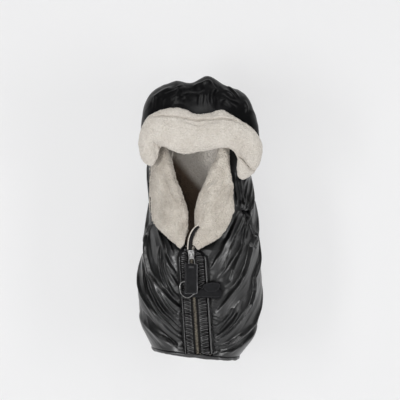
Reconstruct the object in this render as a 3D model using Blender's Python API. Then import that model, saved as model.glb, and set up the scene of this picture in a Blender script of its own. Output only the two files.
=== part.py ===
"""Padded footmuff for a pushchair, hung up by the two loops on its back panel.

Metres, +Z up, +X to the right as seen from the front, and the front faces -Y.
The flat back lies in the plane y = 0. The origin is midway between the points
where the two hanging loops bear. Outlines are given as shares: x as a share of
half the bag's width, height as a share of the bag's or the hood's height.
"""
import math

import bmesh
import bpy
from mathutils import Matrix, Vector

# Driving sizes of the whole
BAG_WIDTH = 0.310
BAG_HEIGHT = 0.492
HOOD_HEIGHT = 0.182
RIM_DEPTH = 0.117
ZIP_TOP_DEPTH = 0.148
ZIP_FOOT_DEPTH = 0.141
HOOD_DEPTH = 0.150
BAG_CENTRE_X = -0.0025
LOOP_BEARING_DROP = 0.002

# Clearances
GAP = 0.0003
SEAM = 0.0006
BACK_SEAM = 0.0016
LINING_SEAM = 0.0020
PIPING_SEAM = 0.0008

# Layers
SHELL_WALL = 0.011
PUFF = 0.008
LINING = 0.006
BACK_WALL = 0.014
BACK_LINING = 0.008
SOLE_WALL = 0.015
SOLE_LINING = 0.008
SOLE_ROUNDING = 0.010
CHANNEL_SPACING = 0.068
CHANNEL_SLANT_share = 1.25
SECTION_POWER_share = 2.7
PUFF_POWER_share = 2.2
FOOT_GATHER_LEVEL_share = 0.05
SOLE_INSET = 0.005
SOLE_SLANT_share = 0.129
WELD = 0.00001
SHARP_ANGLE = math.radians(40)
SIDE_BUFFER_share = 0.1

# Heights that follow from the sizes above
LOOP_HEIGHT = 0.035
LOOP_BASE_Z = LOOP_BEARING_DROP - LOOP_HEIGHT
NECK_HEIGHT = 0.100
RIM_Z = LOOP_BASE_Z - GAP - NECK_HEIGHT
SOLE_Z = RIM_Z - BAG_HEIGHT
BACK_FRONT_Y = BACK_WALL + GAP
LINED_BACK_Y = BACK_FRONT_Y + BACK_LINING

# Left and right edge of the bag: level, left share, right share
bag_outline_shares = (
    (0.0, 0.82, 0.79), (0.15, 0.85, 0.83), (0.3, 0.83, 0.90), (0.45, 0.89, 0.95), (0.6, 0.96, 0.99),
    (0.7, 0.99, 1.0), (0.8, 0.96, 0.97), (0.9, 0.89, 0.88), (1.0, 0.73, 0.64))
ZIP_TOP_LEVEL_share = 0.50
zip_x_shares = (-0.142, -0.038)
SLANT_START_LEVEL_share = 0.72


def along(table, key):
    """Read rows of (key, value, ...) on a smooth curve through them."""
    last = len(table) - 1
    index = 0
    while index < last - 1 and key > table[index + 1][0]:
        index += 1
    low, high = table[index], table[index + 1]
    before = table[max(index - 1, 0)]
    after = table[min(index + 2, last)]
    span = high[0] - low[0]
    t = min(max((key - low[0]) / span, 0.0), 1.0)
    values = []
    for column in range(1, len(low)):
        start_slope = (high[column] - before[column]) / (high[0] - before[0]) * span
        end_slope = (after[column] - low[column]) / (after[0] - low[0]) * span
        values.append(
            (2 * t ** 3 - 3 * t ** 2 + 1) * low[column] + (t ** 3 - 2 * t ** 2 + t) * start_slope
            + (3 * t ** 2 - 2 * t ** 3) * high[column] + (t ** 3 - t ** 2) * end_slope)
    return values


def keyed(points):
    """Give evenly spaced keys from 0 to 1 to a list of points."""
    return [(index / (len(points) - 1), *point) for index, point in enumerate(points)]


def ease(value):
    value = min(max(value, 0.0), 1.0)
    return value * value * (3 - 2 * value)


def share_x(share):
    return BAG_CENTRE_X + share * BAG_WIDTH / 2


def hood_z(share):
    return RIM_Z + share * HOOD_HEIGHT


def level_z(level):
    return RIM_Z - level * BAG_HEIGHT


def slanted_z(level, x):
    """Height of a level, with the foot end slanting down to the right."""
    slant = ease((level - SLANT_START_LEVEL_share) / (1 - SLANT_START_LEVEL_share))
    return level_z(level) - SOLE_SLANT_share * (x - BAG_CENTRE_X) * slant


def half_width(level, side):
    left, right = along(bag_outline_shares, level)
    return (left if side < 0 else right) * BAG_WIDTH / 2


def zip_x(z):
    top_x, foot_x = share_x(zip_x_shares[0]), share_x(zip_x_shares[1])
    t = (level_z(ZIP_TOP_LEVEL_share) - z) / (level_z(ZIP_TOP_LEVEL_share) - SOLE_Z)
    return top_x + (foot_x - top_x) * t


def zip_depth(z):
    t = (level_z(ZIP_TOP_LEVEL_share) - z) / (level_z(ZIP_TOP_LEVEL_share) - SOLE_Z)
    return ZIP_TOP_DEPTH + (ZIP_FOOT_DEPTH - ZIP_TOP_DEPTH) * t


def zip_point(across, out, z):
    """A point near the zip: across it, out from the plackets' face, at height z."""
    return Vector((zip_x(z) + across, -(zip_depth(z) + out), z))


def front_depth(level):
    if level >= ZIP_TOP_LEVEL_share:
        return zip_depth(level_z(level))
    return RIM_DEPTH + (ZIP_TOP_DEPTH - RIM_DEPTH) * level / ZIP_TOP_LEVEL_share


def section_y(level, x, inset):
    """Front surface of the bag at x, as a rounded D with its flat side at the back."""
    side = -1 if x < BAG_CENTRE_X else 1
    reach = half_width(level, side) - inset
    share = min(abs(x - BAG_CENTRE_X) / reach, 1.0)
    power = SECTION_POWER_share
    return -(front_depth(level) - inset) * (1 - share ** power) ** (1 / power)


def turn_at_x(level, x, inset):
    """Angle round the section, 0 at the side edge, quarter turn at the middle."""
    side = -1 if x < BAG_CENTRE_X else 1
    share = min(abs(x - BAG_CENTRE_X) / (half_width(level, side) - inset), 1.0)
    return math.acos(share ** (SECTION_POWER_share / 2))


def turn_at_y(level, depth, inset):
    share = min(depth / (front_depth(level) - inset), 1.0)
    return math.asin(share ** (SECTION_POWER_share / 2))


def ring_point(level, turn, side, inset):
    power = 2 / SECTION_POWER_share
    x = BAG_CENTRE_X + side * (half_width(level, side) - inset) * abs(math.cos(turn)) ** power
    y = -(front_depth(level) - inset) * abs(math.sin(turn)) ** power
    return Vector((x, y, slanted_z(level, x)))


def puff_inset(level, side, point):
    """Depth below the puffs' crests: channels slant down from the back edges to the zip."""
    edge_x = BAG_CENTRE_X + side * half_width(level, side)
    run = abs(point.y) + abs(point.x - edge_x)
    phase = (level * BAG_HEIGHT - CHANNEL_SLANT_share * run) / CHANNEL_SPACING
    from_crest = abs(2 * (phase - math.floor(phase)) - 1)
    fullness = (1 - from_crest ** PUFF_POWER_share) * ease((1 - level) / FOOT_GATHER_LEVEL_share)
    return PUFF * (1 - fullness)


def add_object(name, mesh_data, finish):
    mesh = bpy.data.meshes.new(name)
    mesh_data.to_mesh(mesh)
    mesh_data.free()
    mesh.shade_smooth()
    mesh.set_sharp_from_angle(angle=SHARP_ANGLE)
    mesh.materials.append(finish)
    item = bpy.data.objects.new(name, mesh)
    bpy.context.scene.collection.objects.link(item)
    return item


def closed(mesh_data):
    bmesh.ops.remove_doubles(mesh_data, verts=mesh_data.verts[:], dist=WELD)
    bmesh.ops.recalc_face_normals(mesh_data, faces=mesh_data.faces[:])
    return mesh_data


def layer(outer, inner):
    """Close the space between two grids of points that have the same rows and columns."""
    mesh_data = bmesh.new()
    grids = [[[mesh_data.verts.new(point) for point in row] for row in grid] for grid in (outer, inner)]
    rows, columns = len(outer), len(outer[0])
    for grid in grids:
        for r in range(rows - 1):
            for c in range(columns - 1):
                mesh_data.faces.new((grid[r][c], grid[r][c + 1], grid[r + 1][c + 1], grid[r + 1][c]))
    border = [(0, c) for c in range(columns)] + [(r, columns - 1) for r in range(1, rows)]
    border += [(rows - 1, c) for c in range(columns - 2, -1, -1)] + [(r, 0) for r in range(rows - 2, 0, -1)]
    for here, there in zip(border, border[1:] + border[:1]):
        mesh_data.faces.new((grids[0][here[0]][here[1]], grids[0][there[0]][there[1]],
                             grids[1][there[0]][there[1]], grids[1][here[0]][here[1]]))
    return closed(mesh_data)


def loft(rings):
    """Skin a list of closed rings and cap the first and last."""
    mesh_data = bmesh.new()
    loops = [[mesh_data.verts.new(point) for point in ring] for ring in rings]
    for low, high in zip(loops, loops[1:]):
        for index in range(len(low)):
            after = (index + 1) % len(low)
            mesh_data.faces.new((low[index], low[after], high[after], high[index]))
    mesh_data.faces.new(loops[0][::-1])
    mesh_data.faces.new(loops[-1])
    return closed(mesh_data)


def tube(path, radius, sides, cyclic=False):
    """A round tube along a list of points."""
    rings = []
    count = len(path)
    for index, point in enumerate(path):
        before = path[(index - 1) % count] if cyclic or index else point
        after = path[(index + 1) % count] if cyclic or index < count - 1 else point
        heading = (after - before).normalized()
        across = heading.cross(Vector((0, 1, 0)))
        if across.length < SIDE_BUFFER_share:
            across = heading.cross(Vector((1, 0, 0)))
        across.normalize()
        up = across.cross(heading)
        rings.append([point + radius * (math.cos(a) * across + math.sin(a) * up)
                      for a in (2 * math.pi * k / sides for k in range(sides))])
    if not cyclic:
        return loft(rings)
    mesh_data = bmesh.new()
    loops = [[mesh_data.verts.new(point) for point in ring] for ring in rings]
    for low, high in zip(loops, loops[1:] + loops[:1]):
        for index in range(sides):
            after = (index + 1) % sides
            mesh_data.faces.new((low[index], low[after], high[after], high[index]))
    return closed(mesh_data)


def material(name, colour, roughness, metallic=0.0):
    finish = bpy.data.materials.new(name)
    finish.use_nodes = True
    shader = finish.node_tree.nodes["Principled BSDF"]
    shader.inputs["Base Color"].default_value = (*colour, 1.0)
    shader.inputs["Roughness"].default_value = roughness
    shader.inputs["Metallic"].default_value = metallic
    return finish


def seat_origin(item, point):
    """Put a piece's origin on the axis that it turns or slides on."""
    item.data.transform(Matrix.Translation(-point))
    item.location = point


def cut(item, cutter_mesh, name):
    """Cut a closed shape out of a piece."""
    cutter = bpy.data.objects.new(name, cutter_mesh)
    bpy.context.scene.collection.objects.link(cutter)
    cutter.hide_render = True
    cutter.display_type = "WIRE"
    boolean = item.modifiers.new(name, "BOOLEAN")
    boolean.operation = "DIFFERENCE"
    boolean.solver = "EXACT"
    boolean.object = cutter
    return cutter


def block(low, high):
    """A box between two corners, as rings for a loft."""
    corners = [(low[0], low[1]), (high[0], low[1]), (high[0], high[1]), (low[0], high[1])]
    return [[Vector((x, y, z)) for x, y in corners] for z in (low[2], high[2])]


# Back panel, back lining and their harness slots
SLOT_WIDTH = 0.044
SLOT_HEIGHT = 0.014
SLOT_OVERRUN = 0.004
SLOT_SIDE_OFFSET = 0.045
SHOULDER_SLOT_LEVEL_share = -0.035
CROTCH_SLOT_LEVEL_share = 0.62
BINDING_WALL = 0.0025
neck_outline_shares = ((0.3, -0.745, 0.72), (0.6, -0.73, 0.70), (0.85, -0.68, 0.66), (1.0, -0.60, 0.60))
HOOD_BACK_LAP = 0.025
HOOD_BACK_RISE = 0.039


def slot_places():
    """Centre of each harness slot, in x and z."""
    shoulder_z = level_z(SHOULDER_SLOT_LEVEL_share)
    return {
        "left": (BAG_CENTRE_X - SLOT_SIDE_OFFSET, shoulder_z),
        "right": (BAG_CENTRE_X + SLOT_SIDE_OFFSET, shoulder_z),
        "crotch": (BAG_CENTRE_X, level_z(CROTCH_SLOT_LEVEL_share)),
    }


def slab(rows, front_depth_y, back_depth_y):
    """A flat panel from rows of (left x, right x, z at left, z at right)."""
    grids = []
    for depth in (front_depth_y, back_depth_y):
        grids.append([[Vector((left, -depth, left_z)), Vector((right, -depth, right_z))]
                      for left, right, left_z, right_z in rows])
    return layer(*grids)


def panel_rows(inset, levels, depth):
    rows = []
    for level in levels:
        squeeze = (1 - (depth / (front_depth(level) - inset)) ** SECTION_POWER_share) ** (1 / SECTION_POWER_share)
        left = BAG_CENTRE_X - (half_width(level, -1) - inset) * squeeze
        right = BAG_CENTRE_X + (half_width(level, 1) - inset) * squeeze
        rows.append((left + BACK_SEAM, right - BACK_SEAM, slanted_z(level, left), slanted_z(level, right)))
    return rows


def make_back(black, cream):
    rows = panel_rows(SHELL_WALL, panel_levels[::-1], BACK_WALL)
    for rise, left, right in neck_outline_shares:
        z = RIM_Z + rise * NECK_HEIGHT
        rows.append((share_x(left), share_x(right), z, z))
    back = add_object("back_panel", slab(rows, BACK_WALL, 0.0), black)
    lining_inset = SHELL_WALL + LINING_SEAM + LINING
    rows = panel_rows(lining_inset, lining_levels[::-1], LINED_BACK_Y)
    lap_z = LOOP_BASE_Z - HOOD_BACK_LAP - GAP
    for rise, left, right in neck_outline_shares:
        z = RIM_Z + rise * NECK_HEIGHT
        if z < lap_z:
            rows.append((share_x(left), share_x(right), z, z))
    lap_share = (lap_z - RIM_Z) / NECK_HEIGHT
    left, right = along(neck_outline_shares, lap_share)
    rows.append((share_x(left), share_x(right), lap_z, lap_z))
    lining = add_object("back_lining", slab(rows, LINED_BACK_Y, BACK_FRONT_Y), cream)
    for place, (x, z) in slot_places().items():
        half, tall = SLOT_WIDTH / 2, SLOT_HEIGHT / 2
        rings = block((x - half, -LINED_BACK_Y - SLOT_OVERRUN, z - tall), (x + half, SLOT_OVERRUN, z + tall))
        cutter_data = loft(rings)
        cutter_mesh = bpy.data.meshes.new("slot_cutter_" + place)
        cutter_data.to_mesh(cutter_mesh)
        cutter_data.free()
        cutter = cut(back, cutter_mesh, "slot_cutter_" + place)
        boolean = lining.modifiers.new("slot_cutter_" + place, "BOOLEAN")
        boolean.operation = "DIFFERENCE"
        boolean.solver = "EXACT"
        boolean.object = cutter
        outer = rectangle(x, z, half - GAP, tall - GAP)
        inner = rectangle(x, z, half - BINDING_WALL, tall - BINDING_WALL)
        add_object("slot_binding_" + place, frame_ring(outer, inner, LINED_BACK_Y, 0.0), black)


def rectangle(x, z, half, tall):
    return [(x - half, z - tall), (x + half, z - tall), (x + half, z + tall), (x - half, z + tall)]


def frame_ring(outer, inner, front, back):
    """A frame between two outlines in the XZ plane."""
    mesh_data = bmesh.new()
    loops = []
    for outline, depth in ((outer, front), (inner, front), (inner, back), (outer, back)):
        loops.append([mesh_data.verts.new((x, -depth, z)) for x, z in outline])
    for low, high in zip(loops, loops[1:] + loops[:1]):
        for index in range(len(low)):
            after = (index + 1) % len(low)
            mesh_data.faces.new((low[index], low[after], high[after], high[index]))
    return closed(mesh_data)


# Sole
def sole_ring(inset, z_drop, back_inset, segments=9):
    """The bag's foot section as a closed ring, a given drop below its edge."""
    points = []
    for side in (-1, 1):
        start = turn_at_y(1.0, back_inset, inset) if back_inset else 0.0
        turns = [start + (math.pi / 2 - start) * k / segments for k in range(segments + 1)]
        arc = [ring_point(1.0, turn, side, inset) for turn in turns]
        points += arc if side < 0 else arc[-2::-1]
    return [point + Vector((0, 0, -z_drop)) for point in points]


def make_sole(black, cream):
    rings = [sole_ring(SOLE_INSET, SEAM, 0.0), sole_ring(SOLE_INSET, SOLE_WALL - SOLE_ROUNDING, 0.0),
             sole_ring(SOLE_INSET + SOLE_ROUNDING / 3, SOLE_WALL - SOLE_ROUNDING / 3, 0.0),
             sole_ring(SOLE_INSET + SOLE_ROUNDING, SOLE_WALL, 0.0)]
    add_object("sole_panel", loft(rings), black)
    inset = SHELL_WALL + LINING_SEAM + LINING + BACK_SEAM
    back = LINED_BACK_Y + SEAM
    rings = [sole_ring(inset, 0.0, back), sole_ring(inset, -SOLE_LINING, back)]
    add_object("sole_lining", loft(rings), cream)


# Sides and front of the bag
SIDE_SEAM_TURN_share = 0.42
PLACKET_REACH_LEFT = 0.027
PLACKET_REACH_RIGHT = 0.030
PIPING_LEFT_RADIUS = 0.0016
PIPING_RIGHT_RADIUS = 0.0030
FOLD_LEVEL_share = 0.475
PLACKET_LEVEL_share = 0.545
fold_x_shares = {-1: (-0.57, -0.222), 1: (0.43, -0.10)}
PANEL_ROWS = 34
LINING_ROWS = 12
FRONT_COLUMNS = 13
SIDE_COLUMNS = 4
LINING_COLUMNS = 9
panel_levels = [k / PANEL_ROWS for k in range(PANEL_ROWS + 1)]
lining_levels = [k / LINING_ROWS for k in range(LINING_ROWS + 1)]


def fold_x(level, side):
    """Straight edge on which a front corner is folded outwards."""
    top, foot = fold_x_shares[side]
    return share_x(top + (foot - top) * level / FOLD_LEVEL_share)


def placket_edge_x(level, side):
    """Outer edge of a placket, which runs out in a slant under the lapel's tip."""
    piping = PIPING_LEFT_RADIUS if side < 0 else PIPING_RIGHT_RADIUS
    reach = PLACKET_REACH_LEFT if side < 0 else PLACKET_REACH_RIGHT
    full = zip_x(level_z(level)) + side * reach
    t = ease((level - FOLD_LEVEL_share) / (PLACKET_LEVEL_share - FOLD_LEVEL_share))
    fold = fold_x(FOLD_LEVEL_share, side) + side * SEAM
    return fold + (full - fold) * t, piping * t


def panel_edge_x(level, side):
    if level <= FOLD_LEVEL_share:
        return fold_x(level, side)
    edge, piping = placket_edge_x(level, side)
    return edge + side * (2 * piping + 2 * PIPING_SEAM)


def lining_edge_x(level, side):
    """Inner edge of a lining: on the fold above, behind the zip below."""
    if level <= FOLD_LEVEL_share:
        return fold_x(level, side)
    t = ease((level - FOLD_LEVEL_share) / (ZIP_TOP_LEVEL_share - FOLD_LEVEL_share))
    middle = zip_x(level_z(level)) + side * SEAM
    return fold_x(FOLD_LEVEL_share, side) * (1 - t) + middle * t


def make_shell_side(side, black):
    word = "left" if side < 0 else "right"
    outer, inner, front_outer, front_inner = [], [], [], []
    seam_turn = SIDE_SEAM_TURN_share * math.pi / 2
    for level in panel_levels:
        turns = [seam_turn * k / SIDE_COLUMNS for k in range(SIDE_COLUMNS + 1)]
        outer.append([puffed_point(level, turn, side) for turn in turns])
        inner.append([ring_point(level, turn, side, SHELL_WALL) for turn in turns])
        edge = panel_edge_x(level, side)
        row_outer, row_inner = [], []
        end_outer = end_turn(level, edge, side, 0.0)
        end_inner = end_turn(level, edge, side, SHELL_WALL)
        start = seam_turn + SEAM_TURN_share
        for k in range(FRONT_COLUMNS + 1):
            share = k / FRONT_COLUMNS
            row_outer.append(puffed_point(level, start + (end_outer - start) * share, side))
            row_inner.append(ring_point_any(level, start + (end_inner - start) * share, side, SHELL_WALL))
        front_outer.append(row_outer)
        front_inner.append(row_inner)
    add_object("side_panel_" + word, layer(outer, inner), black)
    add_object("front_panel_" + word, layer(front_outer, front_inner), black)


SEAM_TURN_share = 0.010


def end_turn(level, edge, side, inset):
    """Angle at which a section reaches x = edge, past a quarter turn where it crosses the middle."""
    own_side = (edge - BAG_CENTRE_X) * side >= 0
    turn = turn_at_x(level, edge, inset)
    return turn if own_side else math.pi - turn


def ring_point_any(level, turn, side, inset):
    if turn <= math.pi / 2:
        return ring_point(level, turn, side, inset)
    return ring_point(level, math.pi - turn, -side, inset)


def puffed_point(level, turn, side):
    plain = ring_point_any(level, turn, side, 0.0)
    inset = puff_inset(level, side, plain)
    return ring_point_any(level, turn, side, inset)


def make_lining_side(side, cream):
    word = "left" if side < 0 else "right"
    outer_inset = SHELL_WALL + LINING_SEAM
    grids = []
    for inset in (outer_inset, outer_inset + LINING):
        grid = []
        for level in lining_levels:
            start = turn_at_y(level, BACK_FRONT_Y, inset)
            end = end_turn(level, lining_edge_x(level, side), side, inset)
            turns = [start + (end - start) * k / LINING_COLUMNS for k in range(LINING_COLUMNS + 1)]
            grid.append([ring_point_any(level, turn, side, inset) for turn in turns])
        grids.append(grid)
    add_object("lining_" + word, layer(*grids), cream)


# Plackets, pipings and zip
PLACKET_WALL = 0.009
RUCHE_DEPTH = 0.0014
RUCHE_PITCH = 0.0075
TAPE_IN = 0.0053
TAPE_OUT = 0.0100
TAPE_SINK = 0.0065
TAPE_WALL = 0.0015
TOOTH_SINK = 0.0061
TOOTH_WALL = 0.0036
TOOTH_PITCH = 0.0050
TOOTH_REACH = 0.0020
SPINE_IN = 0.0026
SPINE_OUT = 0.0050
TOOTH_HEIGHT_share = 0.40
CHAIN_FOOT_RISE = 0.008
CHAIN_TOP_DROP = 0.006
STOP_HALF_WIDTH = 0.0050
STOP_HEIGHT = 0.0050
PIPING_SINK = 0.0030


def strip(rows, front_sink, back_sink, ruche=0.0):
    """A strip in the zip's plane from rows of (inner across, outer across, z)."""
    front, back = [], []
    for index, (near, far, z) in enumerate(rows):
        lift = ruche if index % 2 and ruche else 0.0
        middle = (near + far) / 2
        front.append([zip_point(near, -front_sink - lift / 2, z), zip_point(middle, -front_sink - lift, z),
                      zip_point(far, -front_sink - lift, z)])
        back.append([zip_point(near, -back_sink, z), zip_point(middle, -back_sink, z),
                     zip_point(far, -back_sink, z)])
    return layer(front, back)


def make_placket(side, black):
    word = "left" if side < 0 else "right"
    top = FOLD_LEVEL_share + TOP_TUCK_share
    count = int(BAG_HEIGHT * (1 - top) / RUCHE_PITCH * 2)
    rows = []
    for k in range(count + 1):
        level = top + (FOOT_LEVEL_share - top) * k / count
        z = level_z(level)
        edge, _ = placket_edge_x(level, side)
        reach = max(abs(edge - zip_x(z)), TAPE_OUT + GAP + SEAM)
        rows.append((side * (TAPE_OUT + GAP), side * reach, z))
    add_object("placket_" + word, strip(rows, 0.0, PLACKET_WALL, RUCHE_DEPTH), black)


TOP_TUCK_share = 0.025
FOOT_LEVEL_share = 0.985
PIPING_TOP_LEVEL_share = 0.575


def make_piping(side, black):
    word = "left" if side < 0 else "right"
    radius = PIPING_LEFT_RADIUS if side < 0 else PIPING_RIGHT_RADIUS
    path = []
    for k in range(9):
        level = PIPING_TOP_LEVEL_share + (FOOT_LEVEL_share - PIPING_TOP_LEVEL_share) * k / 8
        z = level_z(level)
        edge, piping = placket_edge_x(level, side)
        path.append(zip_point(edge - zip_x(z) + side * (piping + PIPING_SEAM), -PIPING_SINK, z))
    add_object("piping_" + word, tube(path, radius, 8), black)


def make_zip_half(side, black, brass):
    word = "left" if side < 0 else "right"
    top_z = level_z(ZIP_TOP_LEVEL_share) - CHAIN_TOP_DROP
    foot_z = SOLE_Z + CHAIN_FOOT_RISE
    rows = [(side * TAPE_IN, side * TAPE_OUT, foot_z + (top_z - foot_z) * k / 4) for k in range(5)]
    add_object("zip_tape_" + word, strip(rows, TAPE_SINK - TAPE_WALL, TAPE_SINK), black)
    count = int((top_z - foot_z) / TOOTH_PITCH) - 1
    outline = [(side * SPINE_OUT, foot_z)]
    start_z = foot_z + TOOTH_PITCH * (0.25 if side < 0 else 0.75)
    half = TOOTH_PITCH * TOOTH_HEIGHT_share / 2
    outline.append((side * SPINE_IN, foot_z))
    for k in range(count):
        z = start_z + k * TOOTH_PITCH
        outline += [(side * SPINE_IN, z - half), (-side * TOOTH_REACH, z - half),
                    (-side * TOOTH_REACH, z + half), (side * SPINE_IN, z + half)]
    end_z = foot_z + (count + 1) * TOOTH_PITCH
    outline += [(side * SPINE_IN, end_z), (side * SPINE_OUT, end_z)]
    rings = [[zip_point(across, -sink, z) for across, z in outline]
             for sink in (TOOTH_SINK, TOOTH_SINK - TOOTH_WALL)]
    add_object("zip_teeth_" + word, loft(rings), brass)


def make_zip_stop(brass):
    top = SOLE_Z + CHAIN_FOOT_RISE - GAP
    low = top - STOP_HEIGHT
    rows = [(-STOP_HALF_WIDTH, STOP_HALF_WIDTH, low), (-STOP_HALF_WIDTH, STOP_HALF_WIDTH, top)]
    add_object("zip_bottom_stop", strip(rows, TOOTH_SINK - TOOTH_WALL, TOOTH_SINK), brass)


# Slider, pull link and leather tab
SLIDER_TOP_DROP = 0.000
SLIDER_LENGTH = 0.022
SLIDER_HALF_WIDTH = 0.0080
SLIDER_PLATE = 0.0020
SLIDER_FLANGE = 0.0018
SLIDER_SKIRT = 0.0022
BRIDGE_HALF_WIDTH = 0.0016
BRIDGE_RISE = 0.0056
BRIDGE_WALL = 0.0018
BRIDGE_LENGTH = 0.014
LINK_BAR_RADIUS = 0.0012
LINK_DROP = 0.0125
LINK_LENGTH = 0.0250
LINK_HALF_WIDTH = 0.0068
LINK_TOP_HALF_WIDTH = 0.0042
TAB_WIDTH = 0.031
TAB_LENGTH = 0.072
TAB_WALL = 0.0035
TAB_CLEARANCE = 0.0006
TAB_NECK_HALF_WIDTH = 0.0034
TAB_EYE_WALL = 0.0016
TAB_EYE_CLEARANCE = 0.0004
TAB_TOP_DROP = 0.0030


def slider_top_z():
    return level_z(ZIP_TOP_LEVEL_share) - SLIDER_TOP_DROP


def link_top():
    """Centre of the link's upper bar, under the bridge."""
    z = slider_top_z() - LINK_DROP
    return zip_point(0.0, slider_plate_out() + LINK_BAR_RADIUS + 2 * GAP, z)


def slider_plate_out():
    return -(TOOTH_SINK - TOOTH_WALL) + GAP + SLIDER_PLATE


def link_foot():
    """Centre of the link's lower bar, inside the tab's eye."""
    top = link_top()
    z = top.z - LINK_LENGTH
    out = tab_back_out() + TAB_WALL / 2
    return zip_point(0.0, out, z)


def tab_back_out():
    """Height of the tab's back over the plackets: it hangs clear of the strap, the ring and its keeper."""
    return STRAP_WALL + 3 * GAP + 2 * RING_WIRE_RADIUS + KEEPER_WALL + TAB_CLEARANCE


def make_slider(steel):
    top_z = slider_top_z()
    foot_z = top_z - SLIDER_LENGTH
    plate_out = slider_plate_out()
    under = plate_out - SLIDER_PLATE
    skirt = under - SLIDER_SKIRT
    bridge_top = top_z - (SLIDER_LENGTH - BRIDGE_LENGTH) / 2
    bridge_foot = bridge_top - BRIDGE_LENGTH
    outline_shares = ((0.0, 1.0), (0.25, 0.97), (0.6, 0.92), (1.0, 0.90))
    rings = []
    for t, width_share in outline_shares:
        z = top_z + (foot_z - top_z) * t
        wide = SLIDER_HALF_WIDTH * width_share
        inside = wide - SLIDER_FLANGE
        section = [(-wide, skirt), (-inside, skirt), (-inside, under), (inside, under), (inside, skirt),
                   (wide, skirt), (wide, plate_out - SLIDER_PLATE / 3), (wide - SLIDER_PLATE / 3, plate_out),
                   (-wide + SLIDER_PLATE / 3, plate_out), (-wide, plate_out - SLIDER_PLATE / 3)]
        rings.append([zip_point(across, out, z) for across, out in section])
    body = add_object("zip_slider", loft(rings), steel)
    rise = plate_out + BRIDGE_RISE
    inner = rise - BRIDGE_WALL
    sunk = plate_out - SLIDER_PLATE / 2
    profile = [(bridge_top, sunk), (bridge_top - BRIDGE_WALL / 2, inner), (bridge_top - BRIDGE_WALL, rise),
               (bridge_foot + BRIDGE_WALL, rise), (bridge_foot + BRIDGE_WALL / 2, inner), (bridge_foot, sunk),
               (bridge_foot + BRIDGE_WALL, sunk), (bridge_foot + BRIDGE_WALL * 1.4, inner),
               (bridge_top - BRIDGE_WALL * 1.4, inner), (bridge_top - BRIDGE_WALL, sunk)]
    rings = [[zip_point(across, out, z) for z, out in profile] for across in (-BRIDGE_HALF_WIDTH, BRIDGE_HALF_WIDTH)]
    bridge_data = loft(rings)
    bridge_mesh = bpy.data.meshes.new("slider_bridge")
    bridge_data.to_mesh(bridge_mesh)
    bridge_data.free()
    join(body, bridge_mesh, "slider_bridge")
    seat_origin(body, link_top())


def join(item, other_mesh, name):
    """Unite a second closed shape with a piece."""
    guide = bpy.data.objects.new(name, other_mesh)
    bpy.context.scene.collection.objects.link(guide)
    guide.hide_render = True
    guide.display_type = "WIRE"
    boolean = item.modifiers.new(name, "BOOLEAN")
    boolean.operation = "UNION"
    boolean.solver = "EXACT"
    boolean.object = guide


def make_pull_link(steel):
    top, foot = link_top(), link_foot()
    drop = foot - top
    link_shares = ((-1.0, 0.0, 1), (1.0, 0.0, 1), (1.0, 0.28, 0), (1.0, 0.62, 2), (0.86, 0.93, 2), (0.62, 1.0, 2),
                   (-0.62, 1.0, 2), (-0.86, 0.93, 2), (-1.0, 0.62, 2), (-1.0, 0.28, 0))
    path = []
    for across_share, drop_share, width_kind in link_shares:
        width = (LINK_TOP_HALF_WIDTH + LINK_HALF_WIDTH) / 2
        if width_kind == 1:
            width = LINK_TOP_HALF_WIDTH
        if width_kind == 2:
            width = LINK_HALF_WIDTH
        path.append(top + drop * drop_share + Vector((across_share * width, 0, 0)))
    link = add_object("pull_link", ring_tube(path, LINK_BAR_RADIUS, 8), steel)
    seat_origin(link, top)


def ring_tube(path, radius, sides):
    """A closed round tube that stays square to the front view."""
    normal = (path[1] - path[0]).cross(path[2] - path[1]).normalized()
    mesh_data = bmesh.new()
    loops = []
    count = len(path)
    for index, point in enumerate(path):
        heading_in = (point - path[index - 1]).normalized()
        heading_out = (path[(index + 1) % count] - point).normalized()
        heading = (heading_in + heading_out).normalized()
        across = heading.cross(normal).normalized()
        stretch = 1 / max(heading.dot(heading_in), 0.5)
        loops.append([mesh_data.verts.new(point + radius * (math.cos(a) * across * stretch + math.sin(a) * normal))
                      for a in (2 * math.pi * k / sides for k in range(sides))])
    for low, high in zip(loops, loops[1:] + loops[:1]):
        for index in range(sides):
            after = (index + 1) % sides
            mesh_data.faces.new((low[index], low[after], high[after], high[index]))
    return closed(mesh_data)


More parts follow.
